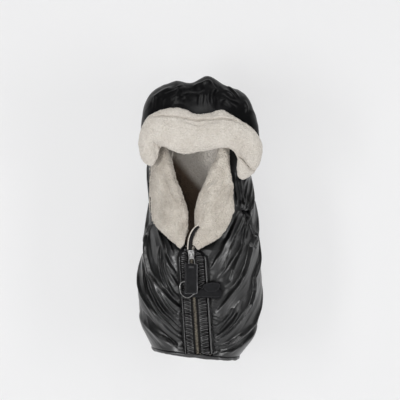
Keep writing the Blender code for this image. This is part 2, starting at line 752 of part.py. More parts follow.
def make_pull_tab(leather):
    """Leather slab with a narrow neck that turns round the link's lower bar."""
    foot = link_foot()
    half = TAB_WALL / 2
    top_z = foot.z - LINK_BAR_RADIUS - TAB_EYE_CLEARANCE - TAB_TOP_DROP
    low_z = top_z - TAB_LENGTH
    corner = TAB_WALL
    outline = [(-TAB_WIDTH / 2, low_z + corner), (-TAB_WIDTH / 2 + corner, low_z), (TAB_WIDTH / 2 - corner, low_z),
               (TAB_WIDTH / 2, low_z + corner), (TAB_WIDTH / 2, top_z - corner), (TAB_WIDTH / 2 - corner, top_z),
               (-TAB_WIDTH / 2 + corner, top_z), (-TAB_WIDTH / 2, top_z - corner)]
    rings = [[Vector((foot.x + x, -(zip_depth(z) + tab_back_out() + half + out), z)) for x, z in outline]
             for out in (-half, half)]
    tab = add_object("pull_tab", loft(rings), leather)
    eye = LINK_BAR_RADIUS + TAB_EYE_CLEARANCE
    outside = eye + TAB_EYE_WALL
    arc = [(outside * math.sin(a), outside * math.cos(a)) for a in (math.pi * (k / 6 - 0.5) for k in range(7))]
    neck = [(y, z) for y, z in arc] + [(outside, -outside - TAB_TOP_DROP), (-outside, -outside - TAB_TOP_DROP)]
    rings = [[Vector((foot.x + x, foot.y - y, foot.z + z)) for y, z in neck]
             for x in (-TAB_NECK_HALF_WIDTH, TAB_NECK_HALF_WIDTH)]
    neck_data = loft(rings)
    neck_mesh = bpy.data.meshes.new("tab_neck")
    neck_data.to_mesh(neck_mesh)
    neck_data.free()
    join(tab, neck_mesh, "tab_neck")
    hole = [[Vector((foot.x + x, foot.y + eye * math.cos(a), foot.z + eye * math.sin(a)))
             for a in (2 * math.pi * k / 12 for k in range(12))]
            for x in (-TAB_NECK_HALF_WIDTH - GAP, TAB_NECK_HALF_WIDTH + GAP)]
    hole_data = loft(hole)
    hole_mesh = bpy.data.meshes.new("tab_eye")
    hole_data.to_mesh(hole_mesh)
    hole_data.free()
    cut(tab, hole_mesh, "tab_eye")
    seat_origin(tab, foot)


# Closing strap, its tongue, ring and keeper
STRAP_WALL = 0.0020
STRAP_LEVEL_share = 0.715
STRAP_LEFT_REACH = 0.029
STRAP_RIGHT_REACH = 0.073
STRAP_HALF_HEIGHT = 0.0100
ANCHOR_REACH_IN = 0.052
ANCHOR_REACH_OUT = 0.076
ANCHOR_HALF_HEIGHT = 0.0165
TONGUE_LEFT_REACH = 0.0195
TONGUE_LENGTH = 0.0500
TONGUE_HALF_HEIGHT = 0.0120
TONGUE_RISE = 0.0160
RING_WIRE_RADIUS = 0.0013
RING_HALF_WIDTH = 0.0215
RING_HALF_HEIGHT = 0.0220
RING_LEFT_SHIFT = 0.0115
RING_RISE = 0.0065
KEEPER_WIDTH = 0.0070
KEEPER_WALL = 0.0010
KEEPER_LENGTH = 0.0150
KEEPER_SHIFT = 0.0150
STUD_RADIUS = 0.0040
STUD_HEIGHT = 0.0012
STUD_POCKET_RADIUS = 0.0046


def make_strap(leather, steel):
    z = level_z(STRAP_LEVEL_share)
    low, high = z - STRAP_HALF_HEIGHT, z + STRAP_HALF_HEIGHT
    strap_shares = ((-1.0, -0.65), (-0.9, -0.85), (0.0, -1.0), (0.62, -1.0), (1.0, -1.1), (1.0, 1.55), (0.62, 1.5),
                    (0.1, 0.7), (-1.0, 0.65))
    outline = []
    for reach_share, rise_share in strap_shares:
        reach = STRAP_LEFT_REACH if reach_share < 0 else STRAP_RIGHT_REACH
        outline.append((reach * reach_share, z + rise_share * STRAP_HALF_HEIGHT))
    rings = [[zip_point(across, out, place) for across, place in outline] for out in (GAP, GAP + STRAP_WALL)]
    add_object("closing_strap", loft(rings), leather)
    rows_under, rows_over = [], []
    for k in range(3):
        place = low + (high - low) * k / 2 + (k - 1) * (ANCHOR_HALF_HEIGHT - STRAP_HALF_HEIGHT)
        level = (RIM_Z - place) / BAG_HEIGHT
        under, over = [], []
        for j in range(4):
            across = ANCHOR_REACH_IN + (ANCHOR_REACH_OUT - ANCHOR_REACH_IN) * j / 3
            x = zip_x(place) + across
            surface = section_y(level, x, -GAP)
            under.append(Vector((x, surface, place)))
            over.append(zip_point(across, 0.0, place))
        rows_under.append(under)
        rows_over.append(over)
    add_object("strap_anchor", layer(rows_over, rows_under), leather)
    make_tongue(leather, steel, z)
    make_ring(steel, leather, z)


def make_tongue(leather, steel, strap_z):
    middle = strap_z + TONGUE_RISE
    tongue_shares = ((0.0, 0.30), (0.16, 0.72), (0.30, 0.96), (0.72, 1.0), (0.92, 0.80), (1.0, 0.20), (0.96, -0.50),
                     (0.72, -0.95), (0.30, -1.0), (0.12, -0.55))
    outline = [(TONGUE_LEFT_REACH + TONGUE_LENGTH * reach, middle + TONGUE_HALF_HEIGHT * rise)
               for reach, rise in tongue_shares]
    under = GAP + STRAP_WALL + GAP
    rings = [[zip_point(across, out, place) for across, place in outline] for out in (under, under + STRAP_WALL)]
    tongue = add_object("strap_tongue", loft(rings), leather)
    stud_across = TONGUE_LEFT_REACH + TONGUE_LENGTH * STUD_PLACE_share
    stud_z = strap_z + STRAP_HALF_HEIGHT * STUD_RISE_share

    def disc(radius, low, high):
        return loft([[zip_point(stud_across + radius * math.cos(a), out, stud_z + radius * math.sin(a))
                      for a in (2 * math.pi * k / 12 for k in range(12))] for out in (low, high)])

    pocket_data = disc(STUD_POCKET_RADIUS, under - STRAP_WALL, under + STUD_HEIGHT + GAP)
    pocket_mesh = bpy.data.meshes.new("stud_pocket")
    pocket_data.to_mesh(pocket_mesh)
    pocket_data.free()
    cut(tongue, pocket_mesh, "stud_pocket")
    seat_origin(tongue, zip_point(TONGUE_LEFT_REACH, under, middle))
    add_object("snap_stud", disc(STUD_RADIUS, under, under + STUD_HEIGHT), steel)


STUD_PLACE_share = 0.66
STUD_RISE_share = 0.75


def make_ring(steel, leather, strap_z):
    out = GAP + STRAP_WALL + GAP + RING_WIRE_RADIUS
    centre_z = strap_z + RING_RISE
    ring_shares = ((0.55, 1.0), (0.85, 0.86), (0.98, 0.55), (0.98, -0.25), (0.72, -0.78), (0.30, -1.0), (-0.10, -0.88),
                   (-0.72, -0.50), (-0.95, -0.15), (-1.0, 0.35), (-0.93, 0.75), (-0.70, 0.97), (-0.35, 1.0))
    path = [zip_point(-RING_LEFT_SHIFT + RING_HALF_WIDTH * across, out, centre_z + RING_HALF_HEIGHT * rise)
            for across, rise in ring_shares]
    add_object("strap_ring", ring_tube(path, RING_WIRE_RADIUS, 8), steel)
    wire_z = centre_z + RING_HALF_HEIGHT
    hollow = RING_WIRE_RADIUS + GAP
    outside = hollow + KEEPER_WALL
    arc = [(-math.pi / 2 + math.pi * k / 6) for k in range(7)]
    base = -out + GAP
    profile = [(base, KEEPER_LENGTH), (base, -outside)]
    profile += [(outside * math.sin(a), -outside * math.cos(a)) for a in arc[1:]]
    profile += [(outside, outside), (base + KEEPER_WALL, outside + KEEPER_LENGTH / 4), (base + KEEPER_WALL, KEEPER_LENGTH)]
    rings = []
    for across in (-KEEPER_SHIFT - KEEPER_WIDTH / 2, -KEEPER_SHIFT + KEEPER_WIDTH / 2):
        rings.append([zip_point(across, out + proud, wire_z + rise) for proud, rise in profile])
    keeper = add_object("ring_keeper", loft(rings), leather)
    tunnel = [[zip_point(across, out + hollow * math.sin(a), wire_z + hollow * math.cos(a))
               for a in (2 * math.pi * k / 12 for k in range(12))]
              for across in (-KEEPER_SHIFT - KEEPER_WIDTH / 2 - GAP, -KEEPER_SHIFT + KEEPER_WIDTH / 2 + GAP)]
    tunnel_data = loft(tunnel)
    tunnel_mesh = bpy.data.meshes.new("keeper_tunnel")
    tunnel_data.to_mesh(tunnel_mesh)
    tunnel_data.free()
    cut(keeper, tunnel_mesh, "keeper_tunnel")


# Hanging loops
LOOP_SPACING = 0.182
LOOP_WIDTH = 0.034
LOOP_BAND = 0.0022
LOOP_DEPTH = 0.010
LOOP_BACK_Y = 0.002


def make_loops(black):
    for side, word in ((-1, "left"), (1, "right")):
        centre = side * LOOP_SPACING / 2
        outline = []
        for inset in (0.0, LOOP_BAND):
            half = LOOP_WIDTH / 2 - inset
            top = LOOP_BASE_Z + LOOP_HEIGHT - inset
            spring = top - half * LOOP_ARCH_share
            arc = [(centre - half, LOOP_BASE_Z)]
            for k in range(9):
                a = math.pi - math.pi * k / 8
                arc.append((centre + half * math.cos(a), spring + half * LOOP_ARCH_share * math.sin(a)))
            arc.append((centre + half, LOOP_BASE_Z))
            outline.append(arc)
        front = [[Vector((x, -LOOP_DEPTH, z)) for x, z in arc] for arc in outline]
        back = [[Vector((x, -LOOP_BACK_Y, z)) for x, z in arc] for arc in outline]
        add_object("hanging_loop_" + word, layer(front, back), black)


LOOP_ARCH_share = 0.6

# Hood: back sheet, shell, lining and rolled cuff
HOOD_WALL = 0.007
HOOD_LINING = 0.0045
HOOD_FRONT_DEPTH_share = 0.97
CUFF_THICKNESS = 0.037
RIDGE_DEPTH = 0.075
RIM_CLEARANCE = 0.001
hood_back_shares = ((0.0, -0.73, 0.70), (0.35, -0.74, 0.71), (0.65, -0.70, 0.68), (0.85, -0.62, 0.62), (1.0, -0.50, 0.50))
# Rear edge, ridge and front edge of the hood: x share, height share of each, and the front edge's depth share
hood_curve_shares = (
    (-0.74, 0.01, -0.88, 0.01, -0.84, 0.01, 0.775), (-0.74, 0.30, -0.90, 0.34, -0.87, 0.30, 0.80),
    (-0.72, 0.55, -0.84, 0.62, -0.81, 0.49, 0.90), (-0.64, 0.70, -0.69, 0.79, -0.67, 0.555, 0.92),
    (-0.40, 0.755, -0.40, 0.925, -0.42, 0.605, 0.97), (-0.16, 0.755, -0.14, 0.90, -0.16, 0.55, 0.97),
    (0.10, 0.755, 0.127, 0.985, 0.08, 0.515, 0.97), (0.36, 0.755, 0.40, 0.875, 0.36, 0.575, 0.97),
    (0.58, 0.73, 0.66, 0.775, 0.60, 0.45, 0.92), (0.69, 0.55, 0.79, 0.62, 0.80, 0.37, 0.86),
    (0.72, 0.30, 0.88, 0.36, 0.88, 0.25, 0.78), (0.72, 0.01, 0.90, 0.01, 0.88, 0.01, 0.775))
# Upper and lower edge of the cuff: x share and height share of each, middle depth share, thickness share
cuff_shares = (
    (-0.777, -0.23, -0.713, -0.175, 0.86, 0.25), (-0.90, -0.155, -0.675, -0.10, 0.88, 0.75),
    (-0.967, 0.027, -0.625, 0.013, 0.91, 0.95), (-0.951, 0.23, -0.586, 0.025, 0.94, 1.0),
    (-0.856, 0.43, -0.539, 0.010, 0.96, 1.0), (-0.681, 0.53, -0.475, -0.027, 0.97, 1.0),
    (-0.475, 0.58, -0.349, -0.067, 0.97, 1.0), (-0.27, 0.56, -0.206, -0.088, 0.97, 1.0),
    (-0.048, 0.493, -0.032, -0.054, 0.97, 1.0), (0.158, 0.513, 0.143, -0.034, 0.97, 1.0),
    (0.349, 0.553, 0.317, -0.007, 0.97, 1.0), (0.523, 0.472, 0.444, 0.0, 0.97, 1.0),
    (0.713, 0.385, 0.523, -0.04, 0.96, 1.0), (0.887, 0.27, 0.586, -0.108, 0.94, 1.0),
    (0.983, 0.108, 0.602, -0.202, 0.92, 0.95), (0.983, -0.067, 0.634, -0.30, 0.90, 0.9),
    (0.887, -0.243, 0.69, -0.378, 0.88, 0.8), (0.808, -0.345, 0.745, -0.395, 0.87, 0.3))


def make_hood_back(black):
    low = LOOP_BASE_Z - HOOD_BACK_LAP
    high = LOOP_BASE_Z + HOOD_BACK_RISE
    rows = []
    for rise, left, right in hood_back_shares:
        z = low + (high - low) * rise
        rows.append((share_x(left), share_x(right), z, z))
    add_object("hood_back", slab(rows, LINED_BACK_Y, BACK_FRONT_Y), black)


def hood_surface(s, t):
    """Outer skin of the hood: s from left to right, t from the rear edge to the front edge."""
    rear_x, rear_up, ridge_x, ridge_up, front_x, front_up, front_share = along(keyed(hood_curve_shares), s)
    rear = Vector((share_x(rear_x), -LINED_BACK_Y - GAP, hood_z(rear_up)))
    ridge = Vector((share_x(ridge_x), -RIDGE_DEPTH, hood_z(ridge_up)))
    front = Vector((share_x(front_x), -HOOD_DEPTH * front_share, hood_z(front_up)))
    pull = 2 * ridge - (rear + front) / 2
    return rear * (1 - t) ** 2 + pull * 2 * t * (1 - t) + front * t ** 2


def hood_point(s, t, inset):
    step = 0.01
    along_s = hood_surface(min(s + step, 1.0), t) - hood_surface(max(s - step, 0.0), t)
    along_t = hood_surface(s, min(t + step, 1.0)) - hood_surface(s, max(t - step, 0.0))
    normal = along_s.cross(along_t).normalized()
    point = hood_surface(s, t) + normal * inset * hood_inward()
    point.y = min(point.y, -LINED_BACK_Y - GAP)
    point.z = max(point.z, RIM_Z + RIM_CLEARANCE)
    return point


def hood_inward():
    """Sign that points the hood's normal into the hood."""
    step = 0.01
    middle = hood_surface(0.5, 0.5)
    along_s = hood_surface(0.5 + step, 0.5) - middle
    along_t = hood_surface(0.5, 0.5 + step) - middle
    return -1.0 if along_s.cross(along_t).z > 0 else 1.0


def hood_layer(outer_inset, inner_inset, across, deep):
    grids = []
    for inset in (outer_inset, inner_inset):
        grids.append([[hood_point(k / across, j / deep, inset) for j in range(deep + 1)] for k in range(across + 1)])
    return layer(*grids)


def make_hood(black, cream):
    shell = add_object("hood_shell", hood_layer(0.0, HOOD_WALL, 20, 8), black)
    inset = HOOD_WALL + SEAM
    lining = add_object("hood_lining", hood_layer(inset, inset + HOOD_LINING, 20, 8), cream)
    rings = []
    count = 30
    for k in range(count + 1):
        top_x, top_up, low_x, low_up, depth_share, thick_share = along(keyed(cuff_shares), k / count)
        top = Vector((share_x(top_x), 0, hood_z(top_up)))
        low = Vector((share_x(low_x), 0, hood_z(low_up)))
        centre = (top + low) / 2 + Vector((0, -HOOD_DEPTH * depth_share, 0))
        arm = (top - low) / 2
        thick = Vector((0, -CUFF_THICKNESS / 2 * thick_share, 0))
        ring = []
        for j in range(14):
            a = 2 * math.pi * j / 14
            round_share = abs(math.sin(a)) ** CUFF_ROUNDING_share
            ring.append(centre + arm * math.cos(a) + thick * math.copysign(round_share, math.sin(a)))
        rings.append(ring)
    cuff = add_object("hood_cuff", loft(rings), cream)
    hinge = Vector((0.0, -LINED_BACK_Y, LOOP_BASE_Z + HOOD_BACK_RISE))
    for item in (shell, lining, cuff):
        seat_origin(item, hinge)


CUFF_ROUNDING_share = 0.8

# Lapels: the front corners folded outwards
LAPEL_BACK_WALL = 0.005
LAPEL_FLEECE = 0.012
LAPEL_EDGE = 0.003
LAPEL_LIFT = 0.0004
FOLD_LINE_SHIFT = 0.002
LAPEL_SPREAD_share = 1.022
LAPEL_POWER_share = 2.78
# Inner and outer edge of each lapel, from its top to its tip: x share, level share
lapel_left_shares = (
    (-0.555, 0.02, -0.745, 0.08), (-0.46, 0.075, -0.79, 0.16), (-0.396, 0.15, -0.808, 0.235),
    (-0.285, 0.23, -0.80, 0.31), (-0.222, 0.315, -0.713, 0.385), (-0.206, 0.40, -0.507, 0.444),
    (-0.238, 0.475, -0.30, 0.50))
lapel_right_shares = (
    (0.412, 0.02, 0.491, 0.04), (0.301, 0.07, 0.475, 0.11), (0.127, 0.155, 0.539, 0.185),
    (0.0, 0.235, 0.547, 0.265), (-0.055, 0.31, 0.507, 0.345), (-0.071, 0.39, 0.349, 0.434),
    (-0.125, 0.475, -0.03, 0.504))


def lapel_seat(x, level, lift):
    """The surface a lapel lies on, a little fuller than the bag's own corner."""
    side = -1 if x < BAG_CENTRE_X else 1
    reach = half_width(level, side) * LAPEL_SPREAD_share
    share = min(abs(x - BAG_CENTRE_X) / reach, 1.0)
    return -(front_depth(level) * (1 - share ** LAPEL_POWER_share) ** (1 / LAPEL_POWER_share) + lift)


def lapel_grid(edges, rows, columns, low_lift, high_lift, crown):
    """Under and upper face of one lapel layer."""
    under, upper = [], []
    for r in range(rows + 1):
        a = r / rows
        in_x, in_level, out_x, out_level = along(keyed(edges), a)
        low_row, high_row = [], []
        for c in range(columns + 1):
            b = c / columns
            x = share_x(in_x + (out_x - in_x) * b)
            level = in_level + (out_level - in_level) * b
            swell_across = (1 - abs(2 * c / columns - 1) ** 3) ** 0.5
            swell_along = (1 - abs(2 * a - 1) ** 6) ** 0.5
            lift = high_lift + crown * swell_across * swell_along
            z = level_z(level)
            low_row.append(Vector((x, lapel_seat(x, level, low_lift), z)))
            high_row.append(Vector((x, lapel_seat(x, level, lift), z)))
        under.append(low_row)
        upper.append(high_row)
    return layer(upper, under)


def fold_hinge(side):
    """Top of the line on which a lapel is folded, at its underside."""
    x = fold_x(0.0, side) - side * FOLD_LINE_SHIFT
    return Vector((x, lapel_seat(x, 0.0, LAPEL_LIFT), RIM_Z))


def make_lapels(black, cream):
    for side, word, edges in ((-1, "left", lapel_left_shares), (1, "right", lapel_right_shares)):
        base = LAPEL_LIFT
        top = base + LAPEL_BACK_WALL
        back = add_object("lapel_back_" + word, lapel_grid(edges, 14, 7, base, top, 0.0), black)
        base = top + GAP
        fleece = add_object("lapel_fleece_" + word,
                            lapel_grid(edges, 14, 7, base, base + LAPEL_EDGE, LAPEL_FLEECE - LAPEL_EDGE), cream)
        for item in (back, fleece):
            seat_origin(item, fold_hinge(side))


def main():
    for item in list(bpy.data.objects):
        bpy.data.objects.remove(item)
    black = material("puffer_black", (0.035, 0.035, 0.037), 0.42)
    sleek = material("placket_black", (0.045, 0.043, 0.045), 0.5)
    cream = material("fleece_cream", (0.66, 0.61, 0.55), 0.95)
    leather = material("leather_black", (0.025, 0.025, 0.026), 0.45)
    steel = material("nickel", (0.60, 0.60, 0.61), 0.25, 1.0)
    brass = material("antique_brass", (0.35, 0.30, 0.22), 0.4, 1.0)
    make_back(black, cream)
    make_sole(black, cream)
    for side in (-1, 1):
        make_shell_side(side, black)
        make_lining_side(side, cream)
        make_placket(side, sleek)
        make_piping(side, black)
        make_zip_half(side, sleek, brass)
    make_zip_stop(brass)
    make_slider(steel)
    make_pull_link(steel)
    make_pull_tab(leather)
    make_strap(leather, steel)
    make_loops(black)
    make_hood_back(black)
    make_hood(black, cream)
    make_lapels(black, cream)


main()
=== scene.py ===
import math

import bmesh
import bpy
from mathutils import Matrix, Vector, noise


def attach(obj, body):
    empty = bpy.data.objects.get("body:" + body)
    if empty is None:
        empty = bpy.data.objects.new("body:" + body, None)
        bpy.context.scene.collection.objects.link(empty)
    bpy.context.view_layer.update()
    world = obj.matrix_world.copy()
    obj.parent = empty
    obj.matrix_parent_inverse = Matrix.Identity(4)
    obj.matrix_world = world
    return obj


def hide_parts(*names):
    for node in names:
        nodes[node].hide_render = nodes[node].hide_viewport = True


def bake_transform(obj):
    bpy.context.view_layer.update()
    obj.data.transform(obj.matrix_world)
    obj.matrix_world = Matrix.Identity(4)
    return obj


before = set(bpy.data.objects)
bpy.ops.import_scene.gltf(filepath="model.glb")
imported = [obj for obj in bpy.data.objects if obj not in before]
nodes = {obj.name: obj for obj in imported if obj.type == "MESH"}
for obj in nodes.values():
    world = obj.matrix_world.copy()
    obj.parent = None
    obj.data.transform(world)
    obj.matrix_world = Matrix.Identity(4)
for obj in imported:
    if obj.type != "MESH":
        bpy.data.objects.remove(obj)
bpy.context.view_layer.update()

# Studio: a pale sweep of painted board behind and under the footmuff, four soft lamps in front
# of it, and a long lens level with the footmuff's waist. The sweep is clear from behind.
PICTURE_SPAN = 0.982
LENS_DISTANCE = 4.5
SENSOR = 36.0
PICTURE_CENTRE = Vector((-0.0025, -0.10, -0.258))
SWEEP_WALL_Y = 0.16
SWEEP_TOP_Z = 1.8
SWEEP_FLOOR_Z = -1.35
SWEEP_FRONT_Y = -3.5
SWEEP_TURN = 0.55
SWEEP_STEPS = 12
SWEEP_HALF_WIDTH = 3.2
SWEEP_COLOUR = (0.86, 0.86, 0.865, 1)
SWEEP_OWN_TONE = 0.65
AIR_COLOUR = (0.92, 0.925, 0.94, 1)
AIR_STRENGTH = 0.12

lens = bpy.data.cameras.new("long_lens")
lens.sensor_width = SENSOR
lens.lens = SENSOR * LENS_DISTANCE / PICTURE_SPAN
camera = bpy.data.objects.new("long_lens", lens)
camera.location = PICTURE_CENTRE + Vector((0, -LENS_DISTANCE, 0))
camera.rotation_euler = (math.radians(90), 0, 0)
bpy.context.scene.collection.objects.link(camera)
bpy.context.scene.camera = camera
bpy.context.scene.view_settings.view_transform = "Standard"
world = bpy.data.worlds.new("studio_air")
world.use_nodes = True
air = world.node_tree.nodes["Background"].inputs
air["Color"].default_value = AIR_COLOUR
air["Strength"].default_value = AIR_STRENGTH
bpy.context.scene.world = world


def hang_lamp(name, place, size, power, target):
    lamp = bpy.data.lights.new(name, "AREA")
    lamp.shape = "RECTANGLE"
    lamp.size, lamp.size_y = size
    lamp.energy = power
    holder = bpy.data.objects.new(name, lamp)
    holder.location = place
    holder.rotation_euler = (Vector(target) - Vector(place)).to_track_quat("-Z", "Y").to_euler()
    bpy.context.scene.collection.objects.link(holder)


hang_lamp("left_lamp", (-1.70, -2.08, -0.50), (0.42, 1.5), 28, (0, -0.08, -0.30))
hang_lamp("right_lamp", (2.00, -1.75, -0.50), (0.45, 1.5), 25.5, (0, -0.08, -0.30))
hang_lamp("top_lamp", (0.1, -1.5, 1.80), (1.4, 0.6), 18.5, (0, -0.08, -0.25))
hang_lamp("low_lamp", (-0.40, -2.70, -0.75), (1.3, 0.6), 10.5, (0, -0.08, -0.25))


def set_sockets(tree, made, sockets):
    """Link each socket to another node's output, or set it to a value."""
    for name, value in sockets.items():
        if isinstance(value, bpy.types.NodeSocket):
            tree.links.new(value, made.inputs[name])
        else:
            made.inputs[name].default_value = value


def add_node(tree, kind, sockets, **settings):
    made = tree.nodes.new(kind)
    for name, value in settings.items():
        setattr(made, name, value)
    set_sockets(tree, made, sockets)
    return made.outputs


def reckon(tree, operation, *values):
    return add_node(tree, "ShaderNodeMath", dict(enumerate(values)), operation=operation)[0]


def paint_sweep():
    """White board; to the lens and in gloss, a share of it is an even tone of its own."""
    paint = bpy.data.materials.new("pale_sweep")
    paint.use_nodes = True
    tree = paint.node_tree
    tree.nodes.clear()
    path = add_node(tree, "ShaderNodeLightPath", {})
    seen = path["Is Camera Ray"]
    for kind in ("Is Glossy Ray", "Is Transmission Ray"):
        seen = reckon(tree, "MAXIMUM", seen, path[kind])
    share = reckon(tree, "MULTIPLY", seen, SWEEP_OWN_TONE)
    board = add_node(tree, "ShaderNodeBsdfDiffuse", {"Color": SWEEP_COLOUR})[0]
    tone = add_node(tree, "ShaderNodeEmission", {"Color": SWEEP_COLOUR})[0]
    front = add_node(tree, "ShaderNodeMixShader", {0: share, 1: board, 2: tone})[0]
    behind = add_node(tree, "ShaderNodeNewGeometry", {})["Backfacing"]
    clear = add_node(tree, "ShaderNodeBsdfTransparent", {})[0]
    either = add_node(tree, "ShaderNodeMixShader", {0: behind, 1: front, 2: clear})[0]
    add_node(tree, "ShaderNodeOutputMaterial", {0: either})
    return paint


profile = [(SWEEP_WALL_Y, SWEEP_TOP_Z)]
for k in range(SWEEP_STEPS + 1):
    turn = math.pi / 2 * k / SWEEP_STEPS
    profile.append((SWEEP_WALL_Y - SWEEP_TURN * (1 - math.cos(turn)),
                    SWEEP_FLOOR_Z + SWEEP_TURN * (1 - math.sin(turn))))
profile.append((SWEEP_FRONT_Y, SWEEP_FLOOR_Z))
board = bmesh.new()
left, right = [[board.verts.new((x, y, z)) for y, z in profile]
               for x in (-SWEEP_HALF_WIDTH, SWEEP_HALF_WIDTH)]
for k in range(len(profile) - 1):
    board.faces.new((left[k], left[k + 1], right[k + 1], right[k]))
sweep = bpy.data.objects.new("pale_sweep", bpy.data.meshes.new("pale_sweep"))
board.to_mesh(sweep.data)
board.free()
sweep.data.shade_smooth()
sweep.data.materials.append(paint_sweep())
bpy.context.scene.collection.objects.link(sweep)

# Puffer shell of the bag: black polyester over wadding, quilted in channels that slant down
# from the back edges to the zip, and gathered where it is sewn to the plackets. Each side is
# one run of cloth from the back seam round to the placket, with a piped side seam.
BAG_WIDTH = 0.310
BAG_HEIGHT = 0.492
BAG_CENTRE_X = -0.0025
RIM_Z = -0.1333
SOLE_Z = RIM_Z - BAG_HEIGHT
RIM_DEPTH = 0.117
ZIP_TOP_DEPTH = 0.148
ZIP_FOOT_DEPTH = 0.141
ZIP_TOP_LEVEL = 0.50
SHELL_WALL = 0.011
PUFF = 0.0022
CHANNEL_SPACING = 0.068
CHANNEL_SLANT = 1.25
HOLLOW_REACH = 0.018
WEAVE_PITCH = 0.0007
WAVE_SCALE = 0.314
SECTION_POWER = 2.7
PUFF_POWER = 2.2
FOOT_GATHER = 0.035
SOLE_SLANT = 0.105
FOOT_DROP = 0.009
SLANT_START = 0.72
FOLD_LEVEL = 0.475
PLACKET_LEVEL = 0.545
SEAM = 0.0006
SIDE_SEAM_TURN = math.pi / 2 * 0.42
CLOTH_DEPTH = 0.0056
BACK_SEAM_FULLNESS = 0.0046
FOLD_SCALE = 1.50
SOFT_FOLD_HEIGHT = 0.0005
CRUMPLE_HEIGHT = 0.00012
GATHER_PITCH = 0.0088
GATHER_HEIGHT = 0.0016
GATHER_DIP = 0.0014
STITCH_DIP = 0.0020
STITCH_DIP_REACH = 0.0035
gather_reach = {-1: 0.012, 1: 0.017}
zip_edge_x = (-0.142, -0.038)
fold_edge_x = {-1: (-0.57, -0.222), 1: (0.43, -0.10)}
placket_reach = {-1: 0.027, 1: 0.030}
piping_radius = {-1: 0.0016, 1: 0.0030}
bag_outline = (
    (0.0, 0.82, 0.79), (0.15, 0.85, 0.83), (0.3, 0.83, 0.90), (0.45, 0.89, 0.95), (0.6, 0.97, 0.99),
    (0.7, 1.005, 1.005), (0.8, 0.987, 0.975), (0.9, 0.943, 0.885), (1.0, 0.785, 0.645))
SIDE_WORDS = {-1: "left", 1: "right"}
SHELL_ROWS = 330
SHELL_COLUMNS = 140


def along(pattern, key):
    """Read a pattern's rows on a smooth curve through them."""
    last = len(pattern) - 1
    index = 0
    while index < last - 1 and key > pattern[index + 1][0]:
        index += 1
    low, high = pattern[index], pattern[index + 1]
    before, after = pattern[max(index - 1, 0)], pattern[min(index + 2, last)]
    span = high[0] - low[0]
    t = min(max((key - low[0]) / span, 0.0), 1.0)
    values = []
    for column in range(1, len(low)):
        start = (high[column] - before[column]) / (high[0] - before[0]) * span
        end = (after[column] - low[column]) / (after[0] - low[0]) * span
        values.append((2 * t ** 3 - 3 * t ** 2 + 1) * low[column] + (t ** 3 - 2 * t ** 2 + t) * start
                      + (3 * t ** 2 - 2 * t ** 3) * high[column] + (t ** 3 - t ** 2) * end)
    return values


def ease(value):
    value = min(max(value, 0.0), 1.0)
    return value * value * (3 - 2 * value)


def width_x(share):
    return BAG_CENTRE_X + share * BAG_WIDTH / 2


def level_z(level):
    """Height of a level; the filling sags a little towards the foot."""
    return RIM_Z - level * BAG_HEIGHT - FOOT_DROP * ease((level - 0.75) / 0.25)


def half_width(level, side):
    left, right = along(bag_outline, level)
    return (left if side < 0 else right) * BAG_WIDTH / 2


def zip_share(z):
    return (level_z(ZIP_TOP_LEVEL) - z) / (level_z(ZIP_TOP_LEVEL) - SOLE_Z)


def zip_x(z):
    top_x, foot_x = width_x(zip_edge_x[0]), width_x(zip_edge_x[1])
    return top_x + (foot_x - top_x) * zip_share(z)


def zip_depth(z):
    return ZIP_TOP_DEPTH + (ZIP_FOOT_DEPTH - ZIP_TOP_DEPTH) * zip_share(z)


def zip_point(across, out, z):
    """A point near the zip: across it, out from the plackets' face, at height z."""
    return Vector((zip_x(z) + across, -(zip_depth(z) + out), z))


def front_depth(level):
    if level >= ZIP_TOP_LEVEL:
        return zip_depth(level_z(level))
    return RIM_DEPTH + (ZIP_TOP_DEPTH - RIM_DEPTH) * level / ZIP_TOP_LEVEL


def slanted_z(level, x):
    """Height of a level at x; near the foot the levels slant down to the right, as the sole does."""
    slant = ease((level - SLANT_START) / (1 - SLANT_START))
    return level_z(level) - SOLE_SLANT * (x - BAG_CENTRE_X) * slant


def round_bag(level, turn, side, inset):
    """A point on the bag's section: turn 0 at the back edge, past a quarter turn beyond the middle."""
    if turn > math.pi / 2:
        turn, side = math.pi - turn, -side
    power = 2 / SECTION_POWER
    x = BAG_CENTRE_X + side * (half_width(level, side) - inset) * abs(math.cos(turn)) ** power
    y = -(front_depth(level) - inset) * abs(math.sin(turn)) ** power
    return Vector((x, y, slanted_z(level, x)))


def turn_at(level, x, side, inset):
    """Turn at which the section of one side's cloth reaches x."""
    reach = half_width(level, -1 if x < BAG_CENTRE_X else 1) - inset
    turn = math.acos(min(abs(x - BAG_CENTRE_X) / reach, 1.0) ** (SECTION_POWER / 2))
    return turn if (x - BAG_CENTRE_X) * side >= 0 else math.pi - turn


def fold_x(level, side):
    top, foot = fold_edge_x[side]
    return width_x(top + (foot - top) * level / FOLD_LEVEL)


def placket_edge(level, side):
    """Outer edge of a placket and the share of its piping there."""
    full = zip_x(level_z(level)) + side * placket_reach[side]
    t = ease((level - FOLD_LEVEL) / (PLACKET_LEVEL - FOLD_LEVEL))
    fold = fold_x(FOLD_LEVEL, side) + side * SEAM
    return fold + (full - fold) * t, t


def shell_edge(level, side):
    if level <= FOLD_LEVEL:
        return fold_x(level, side)
    edge, t = placket_edge(level, side)
    return edge + side * (2 * piping_radius[side] * t + 0.0016)


def ridge(a, b, c, sharpness=2.0):
    """A field of long folds with narrow crests, from 0 between them to 1 on a crest."""
    value = abs(noise.noise(Vector((a, b, c))))
    return max(0.0, 1 - value * 2.6) ** sharpness


